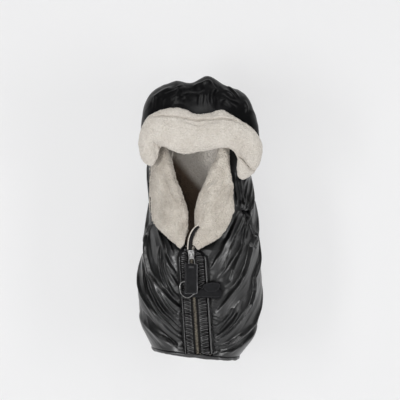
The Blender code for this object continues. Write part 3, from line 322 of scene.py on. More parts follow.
# Folds pressed into the cloth: height and half width, then (run from the back seam, drop
# below the rim) along each fold, all in millimetres. They hang, so that each crest is steep on
# its inner, upper side and slopes away gently on the other.
cloth_folds = {
    -1: (
        (4.2, 3.6, ((92, 150), (111, 186), (128, 210), (142, 234), (155, 262), (168, 284), (184, 304))),
        (3.2, 5.0, ((0, 20), (40, 68), (72, 112), (88, 146))),
        (4.0, 3.6, ((81, 177), (69, 194), (61, 210), (62, 228))),
        (3.4, 3.0, ((59, 57), (56, 100), (62, 149))),
        (6.8, 6.6, ((0, 134), (30, 170), (58, 202), (69, 240), (84, 270), (106, 298), (128, 320), (150, 342),
                    (172, 364), (194, 386), (214, 396))),
        (4.0, 3.4, ((130, 236), (136, 266), (144, 294), (152, 318), (164, 340))),
        (2.4, 3.0, ((148, 216), (164, 240), (176, 258))),
        (3.4, 3.2, ((146, 268), (157, 298), (169, 325), (183, 348), (196, 362))),
        (2.6, 2.6, ((160, 278), (173, 305), (192, 332))),
        (5.6, 7.5, ((0, 262), (30, 296), (54, 324), (72, 352), (96, 376), (120, 400), (142, 424), (165, 446),
                    (190, 470))),
        (4.4, 3.8, ((62, 266), (80, 300), (94, 332), (108, 360), (124, 384), (142, 406), (166, 430),
                    (192, 456))),
        (4.6, 4.2, ((98, 296), (112, 326), (122, 352), (136, 378), (152, 400), (170, 418), (192, 438))),
        (3.6, 3.4, ((132, 318), (142, 344), (154, 366), (168, 388), (182, 408), (196, 424))),
        (2.6, 2.8, ((152, 348), (166, 370), (180, 392), (194, 410))),
        (-3.4, 6.0, ((0, 350), (56, 394), (96, 416), (127, 438), (150, 458), (172, 474))),
        (4.8, 12.0, ((30, 408), (70, 430), (104, 450), (130, 466), (156, 478), (190, 482)))),
    1: (
        (5.2, 5.0, ((60, 70), (100, 125), (152, 191), (168, 215), (190, 245), (208, 272), (220, 294))),
        (3.6, 3.6, ((150, 208), (166, 238), (176, 264), (188, 290), (204, 318))),
        (4.6, 4.2, ((0, 60), (50, 115), (116, 191), (128, 234), (152, 272), (165, 294), (173, 321),
                    (185, 337))),
        (6.6, 6.4, ((0, 128), (60, 195), (105, 240), (118, 278), (137, 313), (165, 345), (182, 370),
                    (203, 399))),
        (5.4, 5.0, ((0, 205), (50, 268), (93, 315), (94, 348), (107, 380), (131, 407), (155, 432), (172, 448),
                    (184, 467))),
        (4.2, 3.8, ((144, 370), (147, 397), (159, 418), (177, 437), (189, 451))),
        (3.4, 3.4, ((163, 386), (169, 402), (184, 418), (201, 429))),
        (4.6, 5.6, ((0, 335), (60, 402), (79, 421), (124, 445), (146, 464), (173, 472))),
        (-2.8, 6.0, ((20, 380), (60, 416), (90, 440), (130, 462), (160, 478))),
        (4.6, 12.0, ((40, 424), (80, 450), (98, 468), (126, 482), (166, 486))),
        (3.4, 5.0, ((0, -14), (45, 32), (90, 88))),
        (4.4, 3.2, ((105, 57), (105, 100), (107, 147))),
        (4.2, 3.0, ((37, 71), (75, 113), (102, 151))),
        (3.6, 3.0, ((117, 57), (125, 100), (129, 139))),
        (4.8, 4.0, ((103, 156), (89, 178), (76, 212), (76, 246))),
        (4.4, 3.6, ((109, 156), (124, 181), (142, 202), (156, 220))),
        (-4.5, 4.0, ((75, 149), (105, 154), (123, 147))),
        (-3.6, 3.0, ((104, 159), (109, 188), (120, 222))))}


def nearest_on(line, u, v):
    """Signed distance from a point to a line of points, and the share of the line it lies beside."""
    best, place = 1e9, 0.0
    for index in range(len(line) - 1):
        (u0, v0), (u1, v1) = line[index], line[index + 1]
        du, dv = u1 - u0, v1 - v0
        t = min(max(((u - u0) * du + (v - v0) * dv) / (du * du + dv * dv), 0.0), 1.0)
        off = math.hypot(u - u0 - t * du, v - v0 - t * dv)
        if off < abs(best):
            best = math.copysign(off, (v - v0) * du - (u - u0) * dv)
            place = (index + t) / (len(line) - 1)
    return best, place


def fold_lift(folds, u, v, gentle=1.0, steep=1.0):
    """Height of the folds at (u, v); a fold is crisp on its crest and dies out at its ends."""
    lift = 0.0
    for height, width, line in folds:
        margin = 3 * width * gentle
        if not (min(p[0] for p in line) - margin < u < max(p[0] for p in line) + margin):
            continue
        if not (min(p[1] for p in line) - margin < v < max(p[1] for p in line) + margin):
            continue
        off, place = nearest_on(line, u, v)
        if abs(off) < margin:
            ends = min(1.0, 4.5 * place + 0.25 * (line[0][0] == 0), 4.5 * (1 - place)) ** 0.6
            reach = width * (gentle if off > 0 else steep)
            power = 1.15 if gentle > 1 and off > 0 and height > 0 else 1.6
            lift += height * ends * math.exp(-(abs(off) / reach) ** power)
    return lift


def shell_depth(level, side, run, point, to_seam, seam_gap):
    """How far the cloth lies under the fullest puffs, run metres round from the back seam."""
    down = level * BAG_HEIGHT
    across = down - CHANNEL_SLANT * run
    wander = 0.007 * noise.noise(Vector((run * 14, down * 9, side * 3.1)))
    phase = (across + wander) / CHANNEL_SPACING
    from_crest = abs(2 * (phase - math.floor(phase)) - 1)
    held = ease((1 - level) / FOOT_GATHER)
    sway_u = 2.4 * noise.noise(Vector((run * 35, down * 35, side * 1.7)))
    sway_v = 2.4 * noise.noise(Vector((run * 35, down * 35, side * 9.3)))
    crest = fold_lift(cloth_folds[side], run * 1000 + sway_u, down * 1000 + sway_v, 2.3, 0.55) / 1000
    bend = 0.014 * noise.noise(Vector((run * 20, down * 11, side * 5.7)))
    long_fold = ridge((across + bend) / 0.026, run / 0.13, side * 7.3, 1.6)
    crumple = noise.noise(point * 60)
    depth = CLOTH_DEPTH - BACK_SEAM_FULLNESS * ease((0.10 - run) / 0.05) + PUFF * from_crest ** PUFF_POWER
    depth -= FOLD_SCALE * crest + SOFT_FOLD_HEIGHT * long_fold + CRUMPLE_HEIGHT * crumple
    near_seam = math.exp(-to_seam / gather_reach[side])
    phase = (down - 0.30 * to_seam) / GATHER_PITCH + 1.1 * noise.noise(Vector((0, down * 45, side)))
    gather = (0.5 + 0.5 * math.cos(2 * math.pi * phase)) ** 1.4
    depth -= near_seam * (GATHER_HEIGHT * gather * (0.35 + 0.65 * ease((down - 0.36) / 0.06)) - GATHER_DIP)
    depth += STITCH_DIP * math.exp(-to_seam / STITCH_DIP_REACH)
    covered = 0.05 + 0.07 * ease((0.52 - level) / 0.1)
    return max(depth * held, -0.0035 - 0.0050 * ease((seam_gap - covered) / 0.03))


def sew(name, mesh_data, finish):
    """Turn a mesh into a piece of the footmuff."""
    bmesh.ops.recalc_face_normals(mesh_data, faces=mesh_data.faces[:])
    mesh = bpy.data.meshes.new(name)
    mesh_data.to_mesh(mesh)
    mesh_data.free()
    mesh.shade_smooth()
    mesh.materials.append(finish)
    piece = bpy.data.objects.new(name, mesh)
    bpy.context.scene.collection.objects.link(piece)
    return piece


def dress(piece, body, slot_name, *stands_for, fill=None):
    """Attach a piece to the body it moves with and hide the solids it stands for; the finish and fullness
    passed in are not used.
    """
    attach(piece, body)
    if stands_for:
        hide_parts(*stands_for)


def line_cloth(outer, inner):
    """Close two layers of cloth, with the same rows and columns, along their edges."""
    cloth = bmesh.new()
    layers = [[[cloth.verts.new(point) for point in row] for row in grid] for grid in (outer, inner)]
    rows, columns = len(outer), len(outer[0])
    for grid in layers:
        for r in range(rows - 1):
            for c in range(columns - 1):
                cloth.faces.new((grid[r][c], grid[r][c + 1], grid[r + 1][c + 1], grid[r + 1][c]))
    rim = [(0, c) for c in range(columns)] + [(r, columns - 1) for r in range(1, rows)]
    rim += [(rows - 1, c) for c in range(columns - 2, -1, -1)] + [(r, 0) for r in range(rows - 2, 0, -1)]
    for here, there in zip(rim, rim[1:] + rim[:1]):
        cloth.faces.new((layers[0][here[0]][here[1]], layers[0][there[0]][there[1]],
                         layers[1][there[0]][there[1]], layers[1][here[0]][here[1]]))
    return cloth


def new_finish(name, colour, roughness):
    """A fresh finish with its shader and the object's own coordinates, in metres."""
    paint = bpy.data.materials.new(name)
    paint.use_nodes = True
    tree = paint.node_tree
    shader = tree.nodes["Principled BSDF"]
    shader.inputs["Base Color"].default_value = (*colour, 1)
    shader.inputs["Roughness"].default_value = roughness
    place = tree.nodes.new("ShaderNodeTexCoord")
    return paint, tree, shader, place.outputs["Object"]


def grain(tree, place, scale, detail=2.0, stretch=None):
    """A noise at a scale per metre, stretched where the thread or fold runs."""
    if stretch:
        place = add_node(tree, "ShaderNodeMapping", {0: place, "Scale": stretch})[0]
    return add_node(tree, "ShaderNodeTexNoise", {"Vector": place, "Scale": scale, "Detail": detail})["Fac"]


def tint(tree, value, dark, light, low=0.3, high=0.7):
    """Colour between two tones where a value goes from low to high."""
    ramp = tree.nodes.new("ShaderNodeValToRGB")
    for stop, position, colour in zip(ramp.color_ramp.elements, (low, high), (dark, light)):
        stop.position = position
        stop.color = (*colour, 1)
    tree.links.new(value, ramp.inputs[0])
    return ramp.outputs[0]


def spread(tree, value, low, high, start=0.0, end=1.0, **settings):
    """Go from low to high where a value goes from start to end."""
    return add_node(tree, "ShaderNodeMapRange", {"Value": value, "From Min": start, "From Max": end,
                                                 "To Min": low, "To Max": high}, **settings)["Result"]


def emboss(tree, value, strength, height, under=None):
    """A bump of a real height in metres, laid over another."""
    sockets = {"Strength": strength, "Distance": height, "Height": value}
    if under:
        sockets["Normal"] = under
    return add_node(tree, "ShaderNodeBump", sockets)["Normal"]


def threads(tree, place, direction, pitch, waver):
    """Side by side threads at a pitch in metres."""
    sockets = {"Vector": place, "Scale": WAVE_SCALE / pitch, "Distortion": waver}
    return add_node(tree, "ShaderNodeTexWave", sockets, bands_direction=direction)["Fac"]


def puffer_cloth(name, dark, light, shine=(0.290, 0.345), gloss=0.60):
    """Calendered polyester: near black, with a fine weave, small creases and a soft gloss that is
    turned down in the hollows of the folds by ambient occlusion, a painted shade, and full on their crests."""
    paint, tree, shader, place = new_finish(name, dark, 0.3)
    hollow = add_node(tree, "ShaderNodeAmbientOcclusion", {"Distance": HOLLOW_REACH}, samples=4)["AO"]
    check = reckon(tree, "MULTIPLY", *(threads(tree, place, way, WEAVE_PITCH, 0.6) for way in ("X", "Z")))
    weave = emboss(tree, check, 0.10, 0.00004)
    creases = grain(tree, place, 110, 3, (1, 1, 1.4))
    set_sockets(tree, shader, {
        "Base Color": tint(tree, grain(tree, place, 38, 4), dark, light),
        "Roughness": spread(tree, grain(tree, place, 90, 3), *shine),
        # Painted shade: the gloss is turned down where ambient occlusion finds the folds' hollows.
        "Specular IOR Level": spread(tree, hollow, 0.05 * gloss, 1.40 * gloss, 0.62, 0.98),
        "Normal": emboss(tree, creases, 0.07, 0.0005, weave)})
    return paint


puffer_black = puffer_cloth("puffer_black", (0.0010, 0.0010, 0.0012), (0.0030, 0.0030, 0.0034))


def run_round(points):
    """Distance round the section from its first point to each point."""
    runs = [0.0]
    for here, there in zip(points, points[1:]):
        runs.append(runs[-1] + (there - here).length)
    return runs


def shares(count):
    """Even shares from 0 to 1."""
    return [k / count for k in range(count + 1)]


def shell_side(side):
    """Both faces of one side's cloth, from the rim down and from the back seam round."""
    outer, inner = [], []
    for level in shares(SHELL_ROWS):
        edge = shell_edge(level, side)
        end = turn_at(level, edge, side, 0.0)
        end_inner = turn_at(level, edge, side, SHELL_WALL)
        plain = [round_bag(level, end * c / SHELL_COLUMNS, side, 0.0) for c in range(SHELL_COLUMNS + 1)]
        runs = run_round(plain)
        row_outer, row_inner = [], []
        for c, point in enumerate(plain):
            to_seam = runs[-1] - runs[c]
            if level < FOLD_LEVEL:
                to_seam += 0.10 * (FOLD_LEVEL - level) / FOLD_LEVEL
            turn = end * c / SHELL_COLUMNS
            depth = shell_depth(level, side, runs[c], point, to_seam, runs[-1] - runs[c])
            row_outer.append(round_bag(level, turn, side, depth))
            row_inner.append(round_bag(level, end_inner * c / SHELL_COLUMNS, side, SHELL_WALL))
        outer.append(row_outer)
        inner.append(row_inner)
    word = SIDE_WORDS[side]
    shell = sew("puffer_shell_" + word, line_cloth(outer, inner), puffer_black)
    dress(shell, "root", "puffer_black", "side_panel_" + word, "front_panel_" + word, fill=0.6)


for side in (-1, 1):
    shell_side(side)

# Side seams: a thin rolled piping of the shell cloth from the rim down each side, as far as
# the first deep folds, where the cloth closes over it.
SIDE_PIPING_RADIUS = 0.0016
SIDE_PIPING_TOP = 0.003
SIDE_PIPING_REACH = 0.365
SIDE_PIPING_STEPS = 80
SIDE_PIPING_STITCH = 0.006
SIDE_PIPING_LIES_IN = 0.0006
SIDE_PIPING_DIVES = 0.005


def skin_rings(rings, cap=True, cloth=None):
    """Skin a row of rings of points, with both ends closed if capped."""
    if cloth is None:
        cloth = bmesh.new()
    loops = [[cloth.verts.new(point) for point in ring] for ring in rings]
    for low, high in zip(loops, loops[1:]):
        for k in range(len(low)):
            after = (k + 1) % len(low)
            cloth.faces.new((low[k], low[after], high[after], high[k]))
    if cap:
        cloth.faces.new(loops[0][::-1])
        cloth.faces.new(loops[-1])
    return cloth


def ring_round(middle, heading, radius, sides):
    """A ring of points round a middle, square to its heading."""
    across = heading.cross(Vector((0, 1, 0)))
    if across.length < 0.1:
        across = heading.cross(Vector((1, 0, 0)))
    across.normalize()
    up = across.cross(heading)
    return [middle + radius * (math.cos(a) * across + math.sin(a) * up)
            for a in (2 * math.pi * k / sides for k in range(sides))]


def roll_cord(path, radius, sides, pinch, pitch):
    """A closed roll of cloth along a path, with its radius pinched at each stitch."""
    rings, travelled = [], 0.0
    for index, point in enumerate(path):
        before, after = path[max(index - 1, 0)], path[min(index + 1, len(path) - 1)]
        travelled += (point - before).length
        swell = radius * (1 - pinch * (0.5 + 0.5 * math.cos(2 * math.pi * travelled / pitch)))
        rings.append(ring_round(point, (after - before).normalized(), swell, sides))
    return skin_rings(rings)


for side in (-1, 1):
    path = []
    for k in range(SIDE_PIPING_STEPS + 1):
        level = SIDE_PIPING_TOP + SIDE_PIPING_REACH * k / SIDE_PIPING_STEPS
        quarter = [round_bag(level, SIDE_SEAM_TURN * c / 24, side, 0.0) for c in range(25)]
        depth = shell_depth(level, side, run_round(quarter)[-1], quarter[-1], 0.2, 0.2) + SIDE_PIPING_LIES_IN
        depth += SIDE_PIPING_DIVES * ease((level - 0.29) / 0.07)
        path.append(round_bag(level, SIDE_SEAM_TURN, side, depth))
    cord = roll_cord(path, SIDE_PIPING_RADIUS, 10, 0.25, SIDE_PIPING_STITCH)
    piping = sew("side_piping_" + SIDE_WORDS[side], cord, puffer_black)
    dress(piping, "root", "puffer_black")

# Sole: a smooth band of the same black cloth under the bag, turned over a rounded edge, with
# a fleece pad inside that the feet rest on.
SOLE_LINING = 0.008
SOLE_STEPS = 34
LINING = 0.006
LINING_SEAM = 0.0020
BACK_SEAM = 0.0016
LINED_BACK_Y = 0.0223


def sole_ring(inset, drop, back_depth):
    """A ring round the foot of the bag, cut off at the back where back_depth is given."""
    ring = []
    for side in (-1, 1):
        start = 0.0
        if back_depth:
            start = math.asin((back_depth / (front_depth(1.0) - inset)) ** (SECTION_POWER / 2))
        turns = [start + (math.pi / 2 - start) * k / SOLE_STEPS for k in range(SOLE_STEPS + 1)]
        arc = [round_bag(1.0, turn, side, inset) for turn in turns]
        ring += arc if side < 0 else arc[-2::-1]
    return [point - Vector((0, 0, drop)) for point in ring]


def ripple(piece, fields):
    """Push a piece's surface along its normals by the sum of soft noises (scale per metre, height)."""
    mesh = piece.data
    normals = [vertex.normal.copy() for vertex in mesh.vertices]
    for vertex, normal in zip(mesh.vertices, normals):
        push = 0.0
        for scale, height, shift in fields:
            push += height * noise.noise(vertex.co * scale + Vector((shift, shift, shift)))
        vertex.co = vertex.co + normal * push
    mesh.update()


# The band's section: inset from the bag's outline and drop below its foot, from the inside out.
sole_profile = [(0.0128, -0.0086), (0.0128, 0.0002), (0.0026, 0.0004), (0.0012, 0.0016), (0.0008, 0.0040),
                (0.0010, 0.0064), (0.0022, 0.0084), (0.0050, 0.0098), (0.0100, 0.0102)]
sole_profile += [(0.0100 + 0.0060 * k, 0.0102) for k in range(1, 12)]
sole_rings = [sole_ring(inset, drop, 0.0) for inset, drop in sole_profile]
smooth_black = puffer_cloth("smooth_black", (0.008, 0.008, 0.009), (0.018, 0.018, 0.019), (0.32, 0.46))
sole = sew("sole_band", skin_rings(sole_rings), smooth_black)
ripple(sole, ((45, 0.0016, 4.0), (120, 0.0007, 9.0)))
dress(sole, "root", "puffer_black", "sole_panel", fill=0.5)


def mix_colours(tree, share, first, second, way="MIX"):
    sockets = {"Fac": share, "Color1": first, "Color2": second}
    return add_node(tree, "ShaderNodeMixRGB", sockets, blend_type=way)[0]


def fleece_cloth(name, shade, bright):
    """Curled fleece: matt knots of pile, with painted shade darkening the gaps between them."""
    paint, tree, shader, place = new_finish(name, bright, 0.95)
    warp = add_node(tree, "ShaderNodeTexNoise", {"Vector": place, "Scale": 240, "Detail": 3})["Color"]
    teased = mix_colours(tree, 0.006, place, warp)
    knots = add_node(tree, "ShaderNodeTexVoronoi", {"Vector": teased, "Scale": 215})["Distance"]
    mottle = tint(tree, grain(tree, place, 26, 3), shade, bright, 0.25, 0.75)
    # Painted shade: the gaps between the knots of pile are darkened.
    gaps = spread(tree, knots, 0.0, 0.55, 0.25, 0.95)
    pile = emboss(tree, grain(tree, place, 700, 3), 0.4, 0.0004)
    set_sockets(tree, shader, {
        "Base Color": mix_colours(tree, gaps, mottle, (0.74, 0.72, 0.68, 1), "MULTIPLY"),
        "Specular IOR Level": 0.15,
        "Sheen Weight": 0.25,
        "Sheen Roughness": 0.6,
        "Normal": emboss(tree, reckon(tree, "SUBTRACT", 1.0, knots), 0.85, 0.0022, pile)})
    return paint


# The sole's fleece is a darker copy of the cream fleece: painted shade for the foot of the cavity.
fleece_sole_shaded = fleece_cloth("fleece_sole_shaded", (0.40, 0.35, 0.30), (0.50, 0.45, 0.39))
lining_inset = SHELL_WALL + LINING_SEAM + LINING + BACK_SEAM
back_of_pad = LINED_BACK_Y + SEAM
# The pad's section: inset from the lining, drop, and gap to the lined back.
pad_profile = [(0.0505, 0.0, 0.03), (0.0, 0.0, 0.0), (0.0, -SOLE_LINING * 0.6, 0.0)]
pad_profile += [(0.004 * k, -SOLE_LINING, 0.002 * k) for k in range(1, 14)]
pad_rings = [sole_ring(lining_inset + shrink, drop, back_of_pad + gap) for shrink, drop, gap in pad_profile]
sole_pad = sew("sole_fleece", skin_rings(pad_rings), fleece_sole_shaded)
ripple(sole_pad, ((120, 0.0008, 2.0), (320, 0.0005, 6.0)))
dress(sole_pad, "root", "fleece_cream", "sole_lining", fill=0.5)

# Back panel: black cloth quilted in level channels, flat where it lies on the seat, with its
# fleece lining in front and three bound slots that the seat's harness comes through.
BACK_WALL = 0.014
BACK_FRONT_Y = 0.0143
NECK_HEIGHT = 0.100
LOOP_BASE_Z = -0.033
HOOD_BACK_LAP = 0.025
GAP = 0.0003
# Painted shade on the back lining: it turns dark past a line through this point (x, z), square to this
# direction, towards the left and the foot.
PAINTED_SHADE_WAY = (0.753, 0.658)
PAINTED_SHADE_EDGE = (-0.066, -0.1535)
BACK_CHANNEL = 0.062
SLOT_HALF = (0.022, 0.007)
SLOT_CUT_DEPTH = 0.05
SLOT_CUT_Y = -0.012
CHANNEL_SINK = 0.0042
EDGE_SINK = 0.004
SLOT_SINK = 0.0012
CLOTH_SINK = 0.0012
neck_outline = ((0.3, -0.745, 0.72), (0.6, -0.73, 0.70), (0.85, -0.68, 0.66), (1.0, -0.60, 0.60))
harness_slots = {"left": (-0.0475, -0.11608), "right": (0.0425, -0.11608), "crotch": (-0.0025, -0.43834)}


def back_rows(inset, depth, step, top_z):
    """Left and right ends of the back at even heights, from the sole up to the neck."""
    rows = []
    for level in [1 - k * step for k in range(int(1 / step) + 1)]:
        squeeze = (1 - (depth / (front_depth(level) - inset)) ** SECTION_POWER) ** (1 / SECTION_POWER)
        ends = []
        for side in (-1, 1):
            x = BAG_CENTRE_X + side * (half_width(level, side) - inset) * squeeze
            ends.append((x - side * BACK_SEAM, slanted_z(level, x)))
        rows.append(ends)
    rim_left, rim_right = rows[-1][0][0], rows[-1][1][0]
    neck = [(0.0, (rim_left - BAG_CENTRE_X) * 2 / BAG_WIDTH, (rim_right - BAG_CENTRE_X) * 2 / BAG_WIDTH)]
    neck += list(neck_outline)
    count = int((top_z - RIM_Z) / (step * BAG_HEIGHT))
    for k in range(1, count + 1):
        z = RIM_Z + (top_z - RIM_Z) * k / count
        left, right = along(neck, (z - RIM_Z) / NECK_HEIGHT)
        rows.append([(width_x(left), z), (width_x(right), z)])
    return rows


def settle(piece):
    """Keep a piece's mesh as its modifiers leave it."""
    piece.data = bpy.data.meshes.new_from_object(piece.evaluated_get(bpy.context.evaluated_depsgraph_get()))
    piece.modifiers.clear()


def cut_slots(piece):
    """Cut the harness slots through a layer of the back."""
    for x, z in harness_slots.values():
        cutter = bmesh.new()
        bmesh.ops.create_cube(cutter, size=1)
        for vertex in cutter.verts:
            vertex.co = Vector((x + vertex.co.x * 2 * SLOT_HALF[0], vertex.co.y * SLOT_CUT_DEPTH + SLOT_CUT_Y,
                                z + vertex.co.z * 2 * SLOT_HALF[1]))
        blade = sew("slot_blade", cutter, puffer_black)
        boolean = piece.modifiers.new("slot", "BOOLEAN")
        boolean.operation = "DIFFERENCE"
        boolean.solver = "EXACT"
        boolean.object = blade
        settle(piece)
        bpy.data.objects.remove(blade)


def layer_between(faces, rows, columns, place):
    """A closed layer of cloth, from the place for each of its faces, rows and shares of a row."""
    return line_cloth(*[[[place(face, row, share) for share in shares(columns)] for row in rows]
                        for face in faces])


def back_layer(name, node, rows, columns, faces, finish, slot_name, bulge):
    """A layer of the back between its front and back faces, with the slots cut through it."""
    def place(flat, ends, share):
        (left, left_z), (right, right_z) = ends
        x, z = left + (right - left) * share, left_z + (right_z - left_z) * share
        return Vector((x, -flat + bulge(x, z, share, flat), z))

    piece = sew(name, layer_between(faces, rows, columns, place), finish)
    cut_slots(piece)
    dress(piece, "root", slot_name, node, fill=0.4)


def quilt_back(x, z, share, flat):
    """How far the back's outer face dips: at channels, edges and slots, and in small folds."""
    if flat:
        return 0.0
    phase = (z + 0.003 * noise.noise(Vector((x * 18, 0, z * 18)))) / BACK_CHANNEL
    from_crest = abs(2 * (phase - math.floor(phase)) - 1)
    near_slot = min(max(abs(x - sx) / 0.034, abs(z - sz) / 0.018) for sx, sz in harness_slots.values())
    edge = min(share, 1 - share) * 12
    sunk = CHANNEL_SINK * from_crest ** 7 + EDGE_SINK * max(0.0, 1 - edge) ** 2
    sunk += SLOT_SINK * max(0.0, 1 - near_slot)
    folds = 0.0012 * ridge(x / 0.030, z / 0.013, 4.4, 1.5) + 0.0005 * noise.noise(Vector((x * 90, 2, z * 90)))
    return min(-sunk - CLOTH_SINK + folds, 0.0)


def lump_fleece(x, z, share, flat):
    if flat != LINED_BACK_Y:
        return 0.0
    lumps = noise.noise(Vector((x * 130, 0, z * 130)))
    return 0.0007 * lumps + 0.0004 * noise.noise(Vector((x * 330, 5, z * 330)))


back_layer("back_quilt", "back_panel", back_rows(SHELL_WALL, BACK_WALL, 0.006, LOOP_BASE_Z - GAP), 84,
           (BACK_WALL, 0.0), puffer_black, "puffer_black", quilt_back)


def cavity_fleece():
    """The lining's cream, painted paler than the cuff's fleece as painted light, turning to a dark brown
    painted shade towards the foot and the left of the bag.
    """
    paint = fleece_cloth("fleece_cavity", (0.86, 0.81, 0.75), (0.93, 0.885, 0.83))
    tree = paint.node_tree
    base = tree.nodes["Principled BSDF"].inputs["Base Color"]
    place = next(node for node in tree.nodes if node.type == "TEX_COORD").outputs["Object"]
    parts = add_node(tree, "ShaderNodeSeparateXYZ", {0: place})
    (way_x, way_z), (edge_x, edge_z) = PAINTED_SHADE_WAY, PAINTED_SHADE_EDGE
    across = reckon(tree, "MULTIPLY_ADD", parts["X"], way_x, -edge_x * way_x - edge_z * way_z)
    past = reckon(tree, "MULTIPLY_ADD", parts["Z"], way_z, across)
    shade_gate = spread(tree, past, 0.0, 1.0, -0.012, 0.012, interpolation_type="SMOOTHSTEP")
    cream = base.links[0].from_socket
    # Painted shade: dark brown in place of the cream past the line.
    tree.links.new(mix_colours(tree, shade_gate, (0.20, 0.145, 0.105, 1), cream), base)
    return paint


fleece_rows = back_rows(SHELL_WALL + LINING_SEAM + LINING, LINED_BACK_Y, 0.008,
                        LOOP_BASE_Z - HOOD_BACK_LAP - GAP)
back_layer("back_fleece", "back_lining", fleece_rows, 70, (LINED_BACK_Y, BACK_FRONT_Y), cavity_fleece(),
           "fleece_cream", lump_fleece)

placket_black = puffer_cloth("placket_black", (0.0026, 0.0024, 0.0026), (0.0065, 0.0060, 0.0065),
                             (0.285, 0.34), 1.3)
BINDING_WALL = 0.0025
BINDING_CORNER = 0.0022
# The binding's section: inset from the slot's edge, and place from back to front.
binding_profile = (
    (0.0003, 0.0226), (0.0012, 0.0230), (BINDING_WALL - 0.0004, 0.0228), (BINDING_WALL, 0.0215),
    (BINDING_WALL, 0.0008), (BINDING_WALL - 0.0004, -0.0004), (0.0012, -0.0006), (0.0003, 0.0002))
for word, (x, z) in harness_slots.items():
    loops = []
    for shrink, y in binding_profile:
        reach_x, reach_z = (half - shrink - BINDING_CORNER for half in SLOT_HALF)
        ring = []
        for a in (2 * math.pi * (k + 0.5) / 40 for k in range(40)):
            corner_x = math.copysign(reach_x, math.cos(a)) + BINDING_CORNER * math.cos(a)
            corner_z = math.copysign(reach_z, math.sin(a)) + BINDING_CORNER * math.sin(a)
            ring.append(Vector((x + corner_x, -y, z + corner_z)))
        loops.append(ring)
    bound = skin_rings(loops + loops[:1], cap=False)
    bmesh.ops.remove_doubles(bound, verts=bound.verts[:], dist=0.00001)
    binding = sew("slot_binding_cloth_" + word, bound, placket_black)
    dress(binding, "root", "placket_black", "slot_binding_" + word)

# Linings of the front: cream fleece inside each side, from the back seam to the zip or to the
# fold of the lapel, seen through the open neck.
LINING_ROWS = 120
LINING_COLUMNS = 60
lining_reach = {
    -1: ((0.0, -0.425), (0.05, -0.440), (0.115, -0.475), (0.22, -0.42), (0.35, -0.31), (0.475, -0.235)),
    1: ((0.0, 0.285), (0.06, 0.298), (0.12, 0.250), (0.22, 0.10), (0.35, -0.02), (0.475, -0.100))}


def lining_edge(level, side):
    """The fleece reaches past the shell's edge at the neck, where it turns out into the lapel."""
    if level <= FOLD_LEVEL:
        return width_x(along(lining_reach[side], level)[0])
    t = ease((level - FOLD_LEVEL) / (ZIP_TOP_LEVEL - FOLD_LEVEL))
    return fold_x(FOLD_LEVEL, side) * (1 - t) + (zip_x(level_z(level)) + side * SEAM) * t


def lining_place(side, face, level, share):
    """A point on one face of a lining; the fleece face is lumpy."""
    inset, rough = face
    start = math.asin((BACK_FRONT_Y / (front_depth(level) - inset)) ** (SECTION_POWER / 2))
    turn = start + (turn_at(level, lining_edge(level, side), side, inset) - start) * share
    point = round_bag(level, turn, side, inset)
    lump = 0.0009 * noise.noise(point * 110) + 0.0005 * noise.noise(point * 300)
    return round_bag(level, turn, side, inset + rough * lump)


fleece_side = fleece_cloth("fleece_side", (0.62, 0.57, 0.51), (0.74, 0.69, 0.62))
for side in (-1, 1):
    layer = layer_between(((SHELL_WALL + LINING_SEAM, 0.0), (SHELL_WALL + LINING_SEAM + LINING, 1.0)),
                          shares(LINING_ROWS), LINING_COLUMNS, lambda *where: lining_place(side, *where))
    lining = sew("lining_fleece_" + SIDE_WORDS[side], layer, fleece_side)
    dress(lining, "root", "fleece_cream", "lining_" + SIDE_WORDS[side], fill=0.4)

